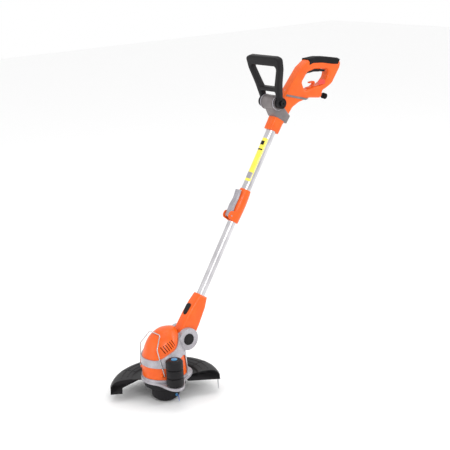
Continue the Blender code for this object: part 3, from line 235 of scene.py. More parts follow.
def per_mm(size):
    """A noise scale whose blotches are about size millimetres across."""
    return 1000.0 / (2.0 * size)


def moulded(name, low, high, roughness, spread, grain, depth, mottle=14.0, **shader):
    """A moulded plastic or rubber: a spark-eroded grain over a slow change of tone, with a painted highlight that
    lightens the sharp edges.

    low and high are the tones it drifts between. grain is the size of the mould's texture in
    millimetres and depth its height.
    """
    made, tree, bsdf = start_material(name)
    place = add_node(tree, "ShaderNodeTexCoord")
    slow = add_node(tree, "ShaderNodeTexNoise", {
        "Vector": place.outputs["Object"], "Scale": per_mm(mottle), "Detail": 3.0, "Roughness": 0.55,
    })
    tone = add_node(tree, "ShaderNodeValToRGB", {"Fac": slow.outputs["Fac"]})
    tone.color_ramp.elements[0].position = 0.30
    tone.color_ramp.elements[0].color = linear(low)
    tone.color_ramp.elements[1].position = 0.72
    tone.color_ramp.elements[1].color = linear(high)
    texture = add_node(tree, "ShaderNodeTexNoise", {
        "Vector": place.outputs["Object"], "Scale": per_mm(grain), "Detail": 2.0, "Roughness": 0.6,
    })
    pits = add_node(tree, "ShaderNodeTexVoronoi", {"Vector": place.outputs["Object"],
                                                   "Scale": per_mm(grain * 0.8)})
    both = add_node(tree, "ShaderNodeMath", {0: texture.outputs["Fac"], 1: pits.outputs["Distance"]},
                    operation="ADD")
    # Painted highlight: sharp edges, found by pointiness, are mixed towards the high tone as if light caught them.
    edge = add_node(tree, "ShaderNodeNewGeometry")
    edge_highlight_mask = add_node(tree, "ShaderNodeMapRange", {
        "Value": edge.outputs["Pointiness"], "From Min": 0.51, "From Max": 0.60, "To Min": 0.0,
        "To Max": 0.35,
    })
    edge_highlighted_tone = add_node(tree, "ShaderNodeMix", {
        "Factor": edge_highlight_mask.outputs["Result"], 6: tone.outputs["Color"], 7: linear(high),
    }, data_type="RGBA")
    gloss = add_node(tree, "ShaderNodeMapRange", {
        "Value": texture.outputs["Fac"], "From Min": 0.3, "From Max": 0.7,
        "To Min": roughness - spread, "To Max": roughness + spread,
    })
    relief = add_node(tree, "ShaderNodeBump", {
        "Height": both.outputs["Value"], "Strength": 0.35, "Distance": depth * 0.001,
    })
    tree.links.new(edge_highlighted_tone.outputs[2], bsdf.inputs["Base Color"])
    tree.links.new(gloss.outputs["Result"], bsdf.inputs["Roughness"])
    tree.links.new(relief.outputs["Normal"], bsdf.inputs["Normal"])
    for key, value in shader.items():
        bsdf.inputs[key.replace("_", " ")].default_value = value
    return made


def drawn_metal(name, low, high, roughness, spread, pitch, along, depth=0.004, **shader):
    """A drawn or turned metal: fine lines run along one direction, given as a turn from +Z about X."""
    made, tree, bsdf = start_material(name)
    place = add_node(tree, "ShaderNodeTexCoord")
    turned_place = add_node(tree, "ShaderNodeMapping", {
        "Vector": place.outputs["Object"], "Rotation": (along, 0.0, 0.0),
    })
    long_lines = add_node(tree, "ShaderNodeMapping", {
        "Vector": turned_place.outputs["Vector"], "Scale": (1.0, 1.0, 0.02),
    })
    lines = add_node(tree, "ShaderNodeTexNoise", {
        "Vector": long_lines.outputs["Vector"], "Scale": per_mm(pitch), "Detail": 4.0, "Roughness": 0.65,
    })
    cloud = add_node(tree, "ShaderNodeTexNoise", {
        "Vector": place.outputs["Object"], "Scale": per_mm(22.0), "Detail": 2.0,
    })
    mixed = add_node(tree, "ShaderNodeMath", {0: lines.outputs["Fac"], 1: cloud.outputs["Fac"]},
                     operation="MULTIPLY")
    tone = add_node(tree, "ShaderNodeValToRGB", {"Fac": mixed.outputs["Value"]})
    tone.color_ramp.elements[0].position = 0.12
    tone.color_ramp.elements[0].color = linear(low)
    tone.color_ramp.elements[1].position = 0.42
    tone.color_ramp.elements[1].color = linear(high)
    gloss = add_node(tree, "ShaderNodeMapRange", {
        "Value": lines.outputs["Fac"], "From Min": 0.3, "From Max": 0.7,
        "To Min": roughness - spread, "To Max": roughness + spread,
    })
    relief = add_node(tree, "ShaderNodeBump", {
        "Height": lines.outputs["Fac"], "Strength": 0.25, "Distance": depth * 0.001,
    })
    tree.links.new(tone.outputs["Color"], bsdf.inputs["Base Color"])
    tree.links.new(gloss.outputs["Result"], bsdf.inputs["Roughness"])
    tree.links.new(relief.outputs["Normal"], bsdf.inputs["Normal"])
    bsdf.inputs["Metallic"].default_value = 1.0
    for key, value in shader.items():
        bsdf.inputs[key.replace("_", " ")].default_value = value
    return made


def flaked(name, low, high, roughness, flake, metallic):
    """Plastic moulded with aluminium flake: a grey body with fine bright specks under a satin skin."""
    made, tree, bsdf = start_material(name)
    place = add_node(tree, "ShaderNodeTexCoord")
    flakes = add_node(tree, "ShaderNodeTexVoronoi", {"Vector": place.outputs["Object"],
                                                     "Scale": per_mm(flake)})
    slow = add_node(tree, "ShaderNodeTexNoise", {
        "Vector": place.outputs["Object"], "Scale": per_mm(18.0), "Detail": 3.0,
    })
    speck = add_node(tree, "ShaderNodeMath", {
        0: flakes.outputs["Distance"], 1: slow.outputs["Fac"],
    }, operation="MULTIPLY")
    tone = add_node(tree, "ShaderNodeValToRGB", {"Fac": speck.outputs["Value"]})
    tone.color_ramp.elements[0].position = 0.05
    tone.color_ramp.elements[0].color = linear(high)
    tone.color_ramp.elements[1].position = 0.35
    tone.color_ramp.elements[1].color = linear(low)
    relief = add_node(tree, "ShaderNodeBump", {
        "Height": flakes.outputs["Distance"], "Strength": 0.15, "Distance": 0.00001,
    })
    gloss = add_node(tree, "ShaderNodeMapRange", {
        "Value": slow.outputs["Fac"], "From Min": 0.3, "From Max": 0.7,
        "To Min": roughness - 0.05, "To Max": roughness + 0.06,
    })
    tree.links.new(tone.outputs["Color"], bsdf.inputs["Base Color"])
    tree.links.new(gloss.outputs["Result"], bsdf.inputs["Roughness"])
    tree.links.new(relief.outputs["Normal"], bsdf.inputs["Normal"])
    bsdf.inputs["Metallic"].default_value = metallic
    bsdf.inputs["Coat Weight"].default_value = 0.15
    return made


# Injection-moulded ABS, dyed orange: an even satin gloss that breaks up on a fine spark-eroded grain.
ORANGE = moulded("orange_abs_moulded", "#e2560a", "#ea6212", 0.36, 0.05, 0.45, 0.012, Coat_Weight=0.08,
                 Specular_IOR_Level=0.35)
# Glass-filled nylon, dyed black: a painted grey highlight on the edges and a coarser mould texture.
BLACK = moulded("black_nylon_moulded", "#0f0e10", "#171518", 0.46, 0.07, 0.6, 0.020, Specular_IOR_Level=0.22)
# Soft-touch elastomer over the grip: matt, with a pebble grain that shows up close.
RUBBER = moulded("black_tpe_overmould", "#0f0f10", "#1a191b", 0.78, 0.06, 0.9, 0.060, Specular_IOR_Level=0.2)
# Silver-flake ABS of the yoke, the plate and the lever.
SILVER = flaked("silver_flake_abs", "#8f8b91", "#c3c0c6", 0.36, 0.30, 0.35)
# Warm grey ABS of the collar round the neck.
GREY = moulded("grey_abs_moulded", "#625c5d", "#7b7474", 0.42, 0.05, 0.5, 0.015)
# Drawn aluminium tube, clear anodised: soft lines along the shaft.
ALUMINIUM = drawn_metal("anodised_drawn_aluminium", "#b5b3b6", "#dcdadd", 0.30, 0.07, 0.25, LEAN)
# Bright zinc on small steel pieces.
STEEL = drawn_metal("zinc_plated_steel", "#9d9fa3", "#cfd1d4", 0.30, 0.08, 0.20, 0.0)
# Polished stainless wire.
WIRE = drawn_metal("polished_steel_wire", "#a9abae", "#dfe0e2", 0.16, 0.05, 0.20, 0.0)
# Enamelled copper windings.
COPPER = drawn_metal("enamelled_copper", "#8c4a22", "#c9743a", 0.35, 0.08, 0.40, 0.0)
# Spring wire, oiled: darker and straw-tinted.
SPRING = drawn_metal("oil_tempered_spring_wire", "#6f6a60", "#9b958a", 0.34, 0.07, 0.20, 0.0)
# Stacked electrical sheet: dull grey edges, one every half millimetre.
LAMINATION = drawn_metal("stacked_electrical_sheet", "#54565a", "#7f8185", 0.48, 0.10, 0.50, math.pi / 2)
# Flexible PVC sheath over the motor's lead.
CABLE = moulded("black_pvc_sheath", "#19191a", "#262627", 0.52, 0.06, 0.7, 0.010)
# Acetal, dyed blue: slick and slightly waxy.
BLUE = moulded("blue_acetal_moulded", "#2f78a8", "#4190bd", 0.28, 0.04, 0.4, 0.008)
# Extruded nylon line: clear blue with a soft depth to it.
LINE = moulded("blue_nylon_line", "#2a4f9c", "#3f6cc4", 0.25, 0.04, 0.4, 0.008, Subsurface_Weight=0.2)
# Printed vinyl, yellow with a warm lower edge.
LABEL = moulded("yellow_vinyl_label", "#e3d02c", "#f2e34f", 0.30, 0.03, 2.0, 0.003, mottle=30.0,
                Coat_Weight=0.4)
# Red printed patch.
RED = moulded("red_vinyl_label", "#c92a20", "#dd3a2c", 0.32, 0.03, 2.0, 0.003, mottle=30.0, Coat_Weight=0.4)

# ---------------------------------------------------------------- outlines

def rounded(corners, turn=math.radians(7.0)):
    """Closed outline through corners (a, b, radius), each rounded with an arc."""
    points = []
    count = len(corners)
    for i, (a, b, radius) in enumerate(corners):
        here = Vector((a, b))
        before = Vector(corners[i - 1][:2]) - here
        after = Vector(corners[(i + 1) % count][:2]) - here
        between = before.angle(after)
        bend = math.pi - between
        reach = radius * math.tan(bend / 2)
        reach = min(reach, 0.49 * before.length, 0.49 * after.length)
        if reach < 1e-5:
            points.append(here)
            continue
        used = reach / math.tan(bend / 2)
        inwards = (before.normalized() + after.normalized()).normalized()
        middle = here + inwards * (used / math.sin(between / 2))
        start = here + before.normalized() * reach - middle
        end = here + after.normalized() * reach - middle
        sweep = start.angle_signed(end)
        steps = max(1, round(abs(sweep) / turn))
        for k in range(steps + 1):
            points.append(middle + Matrix.Rotation(-sweep * k / steps, 2) @ start)
    return points


def circle(a, b, radius, steps=96):
    return [
        Vector((a + radius * math.cos(math.tau * k / steps), b + radius * math.sin(math.tau * k / steps)))
        for k in range(steps)
    ]


def area(points):
    return sum(p.x * q.y - q.x * p.y for p, q in zip(points, points[1:] + points[:1])) / 2


def offset(points, distance):
    """The outline moved outwards, or inwards where distance is negative."""
    sign = 1.0 if area(points) > 0 else -1.0
    moved = []
    for before, here, after in zip(points[-1:] + points[:-1], points, points[1:] + points[:1]):
        first = (here - before).normalized()
        second = (after - here).normalized()
        one = Vector((first.y, -first.x)) * sign
        two = Vector((second.y, -second.x)) * sign
        moved.append(here + (one + two) * (distance / (1.0 + one.dot(two))))
    return moved


def round_over(half, radius, steps=7):
    """Levels (height, inset) of an edge rounded towards height half."""
    levels = []
    for k in range(steps + 1):
        angle = math.pi / 2 * k / steps
        levels.append((half - radius + radius * math.sin(angle), radius * (1 - math.cos(angle))))
    return levels


def both_sides(levels):
    """Mirrors a round_over, so that the piece has two rounded edges."""
    return [(-height, inset) for height, inset in reversed(levels)] + levels


# ---------------------------------------------------------------- meshes

WORK = []  # shapes that cut or join, and pieces before they are delivered


def finished(name, bm, look, parent=None, location=(0, 0, 0), rotation=(0, 0, 0), sharp=30.0):
    bmesh.ops.remove_doubles(bm, verts=bm.verts, dist=1e-7)
    bmesh.ops.recalc_face_normals(bm, faces=bm.faces)
    mesh = bpy.data.meshes.new(name)
    bm.to_mesh(mesh)
    bm.free()
    mesh.materials.append(look)
    mesh.shade_smooth()
    mesh.set_sharp_from_angle(angle=math.radians(sharp))
    made = bpy.data.objects.new(name, mesh)
    bpy.context.scene.collection.objects.link(made)
    made.parent = parent
    made.location = location
    made.rotation_euler = rotation
    WORK.append(made)
    return made


def skin(bm, rings, closed=False):
    """Joins rings of equal length with faces, and the last to the first where closed."""
    pairs = list(zip(rings, rings[1:]))
    if closed:
        pairs.append((rings[-1], rings[0]))
    for low, high in pairs:
        count = max(len(low), len(high))
        for k in range(count):
            corners = [low[k % len(low)], low[(k + 1) % len(low)], high[(k + 1) % len(high)],
                       high[k % len(high)]]
            unique = list(dict.fromkeys(corners))
            bm.faces.new(unique)


def slab(outline, levels, place, holes=()):
    """A plate: the outline and its holes at each level (height, inset), capped at both ends."""
    bm = bmesh.new()
    loops = [outline] + list(holes)
    rings = [[] for _ in loops]
    for number, loop in enumerate(loops):
        sign = 1.0 if number else -1.0
        for height, inset in levels:
            moved = offset(loop, sign * inset) if inset else loop
            rings[number].append([bm.verts.new(place(point.x, point.y, height)) for point in moved])
    for ring_set in rings:
        skin(bm, ring_set)
    for end in (0, -1):
        inset = levels[end][1]
        moved = [offset(loop, inset if number else -inset) for number, loop in enumerate(loops)]
        verts = [vert for ring_set in rings for vert in ring_set[end]]
        for triangle in tessellate_polygon([[point.to_3d() for point in loop] for loop in moved]):
            bm.faces.new([verts[k] for k in triangle])
    return bm


def turned(profile, steps=96, place=None):
    """A solid of revolution about +Z. The profile (radius, z) runs in order and closes on itself."""
    bm = bmesh.new()
    rings = []
    for radius, z in profile:
        if radius < 1e-7:
            rings.append([bm.verts.new((0, 0, z))])
            continue
        rings.append([
            bm.verts.new((radius * math.cos(math.tau * k / steps), radius * math.sin(math.tau * k / steps),
                          z))
            for k in range(steps)
        ])
    hollow = len(rings[0]) > 1 and len(rings[-1]) > 1
    skin(bm, rings, closed=hollow)
    if place:
        bmesh.ops.transform(bm, matrix=place, verts=bm.verts)
    return bm


def sleeve(inner, outer, low, high, steps=96, place=None):
    return turned([(inner, low), (outer, low), (outer, high), (inner, high)], steps, place)


def rod(radius, low, high, steps=96, place=None):
    return turned([(0, low), (radius, low), (radius, high), (0, high)], steps, place)


def box(low, high):
    bm = bmesh.new()
    bmesh.ops.create_cube(bm, size=1.0)
    for vert in bm.verts:
        for axis in range(3):
            vert.co[axis] = low[axis] if vert.co[axis] < 0 else high[axis]
    return bm


def stacked(loops):
    """A solid through loops of points, with flat ends."""
    bm = bmesh.new()
    rings = [[bm.verts.new(point) for point in loop] for loop in loops]
    skin(bm, rings)
    bm.faces.new(rings[0])
    bm.faces.new(rings[-1])
    return bm


def wire(name, points, radius, look, parent=None, sides=5):
    """A round wire of constant thickness through the points."""
    curve = bpy.data.curves.new(name, "CURVE")
    curve.dimensions = "3D"
    curve.bevel_depth = radius
    curve.bevel_resolution = sides
    curve.use_fill_caps = True
    spline = curve.splines.new("POLY")
    spline.points.add(len(points) - 1)
    for slot, point in zip(spline.points, points):
        slot.co = (*point, 1.0)
    curve.materials.append(look)
    made = bpy.data.objects.new(name, curve)
    bpy.context.scene.collection.objects.link(made)
    made.parent = parent
    WORK.append(made)
    return made


def smooth_path(points, steps):
    """Points on a Catmull-Rom curve through the given points."""
    path = []
    ends = [points[0] * 2 - points[1]] + list(points) + [points[-1] * 2 - points[-2]]
    for p0, p1, p2, p3 in zip(ends, ends[1:], ends[2:], ends[3:]):
        for k in range(steps):
            t = k / steps
            path.append(0.5 * (
                2 * p1 + (p2 - p0) * t + (2 * p0 - 5 * p1 + 4 * p2 - p3) * t * t
                + (3 * p1 - p0 - 3 * p2 + p3) * t * t * t
            ))
    path.append(points[-1])
    return path


def boolean(target, tool, operation):
    change = target.modifiers.new(operation.lower(), "BOOLEAN")
    change.operation = operation
    change.solver = "EXACT"
    change.object = tool
    tool.hide_render = True
    tool.display_type = "WIRE"


def cut(targets, name, bm, parent=None, location=(0, 0, 0), rotation=(0, 0, 0)):
    tool = finished("cut_" + name, bm, STEEL, parent, location, rotation)
    for target in targets:
        boolean(target, tool, "DIFFERENCE")


def add(target, name, bm, parent=None, location=(0, 0, 0), rotation=(0, 0, 0)):
    tool = finished("add_" + name, bm, STEEL, parent, location, rotation)
    boolean(target, tool, "UNION")


def keep(target, name, bm):
    tool = finished("keep_" + name, bm, STEEL)
    boolean(target, tool, "INTERSECT")


def deliver(made, body, slot, *nodes, bevel=0.0, sharp=32.0):
    """The finished piece: its cuts applied, its place in its mesh, riding on its body."""
    name = made.name.split(".")[0]
    bpy.context.view_layer.update()
    graph = bpy.context.evaluated_depsgraph_get()
    mesh = bpy.data.meshes.new_from_object(made.evaluated_get(graph))
    mesh.transform(made.matrix_world)
    made.name = "work_" + name
    shaped = bmesh.new()
    shaped.from_mesh(mesh)
    bmesh.ops.remove_doubles(shaped, verts=shaped.verts, dist=2e-6)
    bmesh.ops.dissolve_degenerate(shaped, edges=shaped.edges, dist=1e-6)
    bmesh.ops.recalc_face_normals(shaped, faces=shaped.faces)
    shaped.to_mesh(mesh)
    shaped.free()
    mesh.materials.clear()
    mesh.materials.append(made.data.materials[0])
    mesh.shade_smooth()
    mesh.set_sharp_from_angle(angle=math.radians(sharp))
    piece = bpy.data.objects.new("skin_" + name, mesh)
    bpy.context.scene.collection.objects.link(piece)
    if bevel:
        edge = piece.modifiers.new("edge", "BEVEL")
        edge.width = bevel
        edge.segments = 2
        edge.limit_method = "ANGLE"
        edge.angle_limit = math.radians(40.0)
        edge.harden_normals = True
    if nodes:
        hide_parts(*nodes)
    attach(piece, body)
    return piece


def clear_work():
    """Removes the shapes that only cut or joined."""
    for made in WORK:
        bpy.data.objects.remove(made, do_unlink=True)


def frame_empty(name, parent=None, location=(0, 0, 0), rotation=(0, 0, 0)):
    made = bpy.data.objects.new(name, None)
    bpy.context.scene.collection.objects.link(made)
    made.parent = parent
    made.location = location
    made.rotation_euler = rotation
    return made


def side(front, along, height):
    """Side view of the shaft: in front of its axis, along it, and out to the left."""
    return Vector((height, -front, along))


ALONG_X = Matrix.Rotation(math.pi / 2, 4, "Y")  # turns +Z to +X

shaft = frame_empty("shaft_frame", location=(0, PIVOT_Y, PIVOT_Z), rotation=(-LEAN, 0, 0))


def along_x(bm, front=0.0, along=0.0):
    """Turns a solid about +Z to lie along +X at a place in the shaft's side view."""
    bmesh.ops.transform(bm, matrix=Matrix.Translation(side(front, along, 0)) @ ALONG_X, verts=bm.verts)
    return bm



def make_tubes():
    inner = OUTER_TUBE_R - OUTER_TUBE_WALL
    upper = turned([
        (inner, UPPER_TUBE_FOOT), (OUTER_TUBE_R, UPPER_TUBE_FOOT), (OUTER_TUBE_R, UPPER_TUBE_TOP),
        (inner, UPPER_TUBE_TOP),
    ], 128)
    deliver(finished("upper_tube", upper, ALUMINIUM, shaft), "grip", "aluminium", "upper_tube")
    bore = TUBE_R - TUBE_WALL
    lower = turned([
        (bore, LOWER_TUBE_FOOT), (TUBE_R, LOWER_TUBE_FOOT), (TUBE_R, LOWER_TUBE_TOP), (bore, LOWER_TUBE_TOP),
    ], 128)
    deliver(finished("lower_tube", lower, ALUMINIUM, shaft), "shaft", "aluminium", "lower_tube")


LABEL_FOOT = 0.502
LABEL_TOP = 0.643
LABEL_HALF = math.radians(62.0)
LABEL_SKIN = 0.00012


def make_label():
    """The vinyl label: a thin curved sheet on the front of the upper tube, with three printed bands."""
    def patch(name, low, high, half, lift, look):
        bm = bmesh.new()
        rows = []
        steps = 40
        for z in (low, high):
            for radius in (OUTER_TUBE_R + lift, OUTER_TUBE_R + lift + LABEL_SKIN):
                rows.append([
                    bm.verts.new((
                        radius * math.cos(-math.pi / 2 + half * (2 * k / steps - 1)),
                        radius * math.sin(-math.pi / 2 + half * (2 * k / steps - 1)), z,
                    ))
                    for k in range(steps + 1)
                ])
        inner_low, outer_low, inner_high, outer_high = rows
        for one, two in ((inner_low, outer_low), (outer_low, outer_high), (outer_high, inner_high),
                         (inner_high, inner_low)):
            for k in range(steps):
                bm.faces.new((one[k], one[k + 1], two[k + 1], two[k]))
        for k in (0, steps):
            bm.faces.new((inner_low[k], outer_low[k], outer_high[k], inner_high[k]))
        deliver(finished(name, bm, look, shaft), "grip", "aluminium")

    patch("label_sheet", LABEL_FOOT, LABEL_TOP, LABEL_HALF, 0.00005, LABEL)
    length = LABEL_TOP - LABEL_FOOT
    for number, (start, end, share) in enumerate(((0.06, 0.20, 0.86), (0.72, 0.75, 0.7), (0.84, 0.93, 0.5))):
        patch(f"label_band_{number}", LABEL_FOOT + length * start, LABEL_FOOT + length * end,
              LABEL_HALF * share,
              0.00005 + LABEL_SKIN, BLACK if number else SILVER)


def make_clamp():
    body = finished("clamp_body", turned([
        (TUBE_R + GAP, CLAMP_FOOT), (CLAMP_R - 0.001, CLAMP_FOOT), (CLAMP_R, CLAMP_FOOT + 0.003),
        (CLAMP_R + 0.0015, CLAMP_FOOT + 0.040), (CLAMP_R + 0.0015, CLAMP_FOOT + 0.062),
        (CLAMP_R, CLAMP_TOP - 0.010),
        (CLAMP_R - 0.0015, CLAMP_TOP), (OUTER_TUBE_R + GAP, CLAMP_TOP),
        (OUTER_TUBE_R + GAP, UPPER_TUBE_FOOT - GAP), (TUBE_R + GAP, UPPER_TUBE_FOOT - GAP),
    ]), ORANGE, shaft)
    lug_half = LEVER_HALF + RUN + LUG_WALL
    lug = rounded([
        (CLAMP_PIN_FRONT + LUG_R, CLAMP_PIN_ALONG + LUG_R, LUG_R),
        (0.004, CLAMP_PIN_ALONG + 0.022, 0.0), (0.004, CLAMP_FOOT + 0.002, 0.0),
        (0.012, CLAMP_FOOT + 0.001, 0.0), (CLAMP_PIN_FRONT + LUG_R, CLAMP_PIN_ALONG - LUG_R, LUG_R),
    ])
    add(body, "clamp_lugs", slab(lug, both_sides(round_over(lug_half, 0.003, 4)), side), shaft)
    room = LEVER_HALF + RUN
    gap_outline = rounded([
        (CLAMP_R + 0.0005, CLAMP_FOOT - 0.004, 0.0005), (0.060, CLAMP_FOOT - 0.004, 0.0005),
        (0.060, CLAMP_TOP + 0.010, 0.0005), (CLAMP_R - 0.0006, CLAMP_TOP + 0.010, 0.0005),
        (CLAMP_R - 0.0006, CLAMP_PIN_ALONG + 0.020, 0.0005),
        (CLAMP_PIN_FRONT - 0.0095, CLAMP_PIN_ALONG + 0.009, 0.001),
        (CLAMP_PIN_FRONT - 0.0095, CLAMP_PIN_ALONG - 0.0075, 0.001),
    ])
    cut([body], "lever_room", slab(gap_outline, [(-room, 0), (room, 0)], side), shaft)
    window = SHOE_HALF + GAP
    cut([body], "shoe_window", box((-window, -0.030, CLAMP_PIN_ALONG - window),
                                   (window, 0, CLAMP_PIN_ALONG + window)),
        shaft)
    cut([body], "clamp_bore", rod(TUBE_R + GAP, CLAMP_FOOT - 0.01, UPPER_TUBE_FOOT), shaft)
    cut([body], "clamp_upper_bore", rod(OUTER_TUBE_R + GAP, UPPER_TUBE_FOOT - GAP, CLAMP_TOP + 0.01), shaft)
    cut([body], "clamp_pin", along_x(rod(CLAMP_PIN_R + GAP, -0.03, 0.03), CLAMP_PIN_FRONT, CLAMP_PIN_ALONG),
        shaft)
    deliver(body, "grip", "orange_plastic", "clamp_body", bevel=0.0003)
    pin = finished("clamp_pin", along_x(rod(CLAMP_PIN_R, -lug_half, lug_half), CLAMP_PIN_FRONT,
                                        CLAMP_PIN_ALONG),
                   STEEL, shaft)
    deliver(pin, "grip", "steel", "clamp_pin")
    eye = LEVER_THICK / 2 + 0.0010
    lever = rounded([
        (CLAMP_PIN_FRONT - eye, CLAMP_PIN_ALONG - eye, eye),
        (CLAMP_PIN_FRONT - eye, CLAMP_PIN_ALONG + 0.010, 0.006),
        (0.0200, CLAMP_PIN_ALONG + 0.030, 0.020), (0.0186, CLAMP_PIN_ALONG + 0.055, 0.030),
        (0.0215, CLAMP_PIN_ALONG + 0.083, 0.0), (0.0290, CLAMP_PIN_ALONG + 0.081, 0.0),
        (0.0255, CLAMP_PIN_ALONG + 0.055, 0.030), (0.0290, CLAMP_PIN_ALONG + 0.030, 0.025),
        (CLAMP_PIN_FRONT + eye, CLAMP_PIN_ALONG + 0.008, 0.010),
        (CLAMP_PIN_FRONT + eye, CLAMP_PIN_ALONG - eye, eye),
    ])
    handle = finished("clamp_lever", slab(lever, both_sides(round_over(LEVER_HALF, 0.002, 4)), side),
                      SILVER, shaft)
    for step in range(4):
        along = CLAMP_PIN_ALONG + 0.058 + 0.005 * step
        groove = rod(0.0009, -LEVER_HALF * 0.72, LEVER_HALF * 0.72, 24)
        cut([handle], f"lever_groove_{step}", along_x(groove, 0.0262 + 0.0006 * step, along), shaft)
    deliver(handle, "clamp_lever", "silver_plastic", "clamp_lever", bevel=0.0003)


HANDLE = [
    (0.0190, NOSE, 0.0), (0.0205, 0.760, 0.060), (0.0090, 0.842, 0.060), (0.0030, 0.884, 0.030),
    (-0.0130, 0.919, 0.030), (-0.0430, 0.942, 0.040), (-0.0740, 0.958, 0.060), (-0.1150, 0.975, 0.012),
    (-0.1350, 0.975, 0.013), (-0.1395, 0.955, 0.020), (-0.1360, 0.900, 0.030), (-0.1230, 0.878, 0.020),
    (-0.1125, 0.864, 0.009), (-0.1190, 0.842, 0.009), (-0.0760, 0.821, 0.030), (-0.0440, 0.790, 0.035),
    (-0.0290, 0.766, 0.030), (-0.0250, 0.735, 0.030), (-0.0200, 0.700, 0.030), (-0.0190, NOSE, 0.0),
]
HANDLE_OPENING = [
    (-0.0235, 0.848, 0.009), (-0.0280, 0.884, 0.016), (-0.0500, 0.906, 0.025), (-0.1010, 0.932, 0.009),
    (-0.1080, 0.908, 0.015), (-0.1020, 0.886, 0.014), (-0.0920, 0.873, 0.012), (-0.0740, 0.857, 0.020),
    (-0.0460, 0.831, 0.010),
]
TRIGGER = [
    (-0.0240, 0.8560, 0.003), (-0.0335, 0.8800, 0.012), (-0.0560, 0.8990, 0.020), (-0.0950, 0.9195, 0.004),
    (-0.0985, 0.9270, 0.004), (-0.0480, 0.9090, 0.020), (-0.0250, 0.8870, 0.016), (-0.0185, 0.8670, 0.006),
    (-0.0120, 0.8660, 0.004), (-0.0120, 0.8580, 0.004),
]
HANDLE_SCREWS = [(-0.0030, 0.8230), (-0.1050, 0.9480), (-0.0640, 0.8270)]
GRIP_REGION = [
    (-0.0210, 0.9020, 0.0), (-0.0330, 0.9160, 0.012), (-0.0640, 0.9330, 0.020), (-0.1080, 0.9510, 0.0),
    (-0.1260, 0.9600, 0.0), (-0.1260, 0.9785, 0.0), (-0.1150, 0.9775, 0.0), (-0.0740, 0.9602, 0.060),
    (-0.0425, 0.9440, 0.040), (-0.0115, 0.9210, 0.0),
]


def swung(corner, pivot, angle):
    """A corner of the side view turned about a pivot, positive for the rear end moving up."""
    centre = Vector(pivot)
    moved = Matrix.Rotation(-angle, 2) @ (Vector(corner[:2]) - centre) + centre
    return (moved.x, moved.y, corner[2])


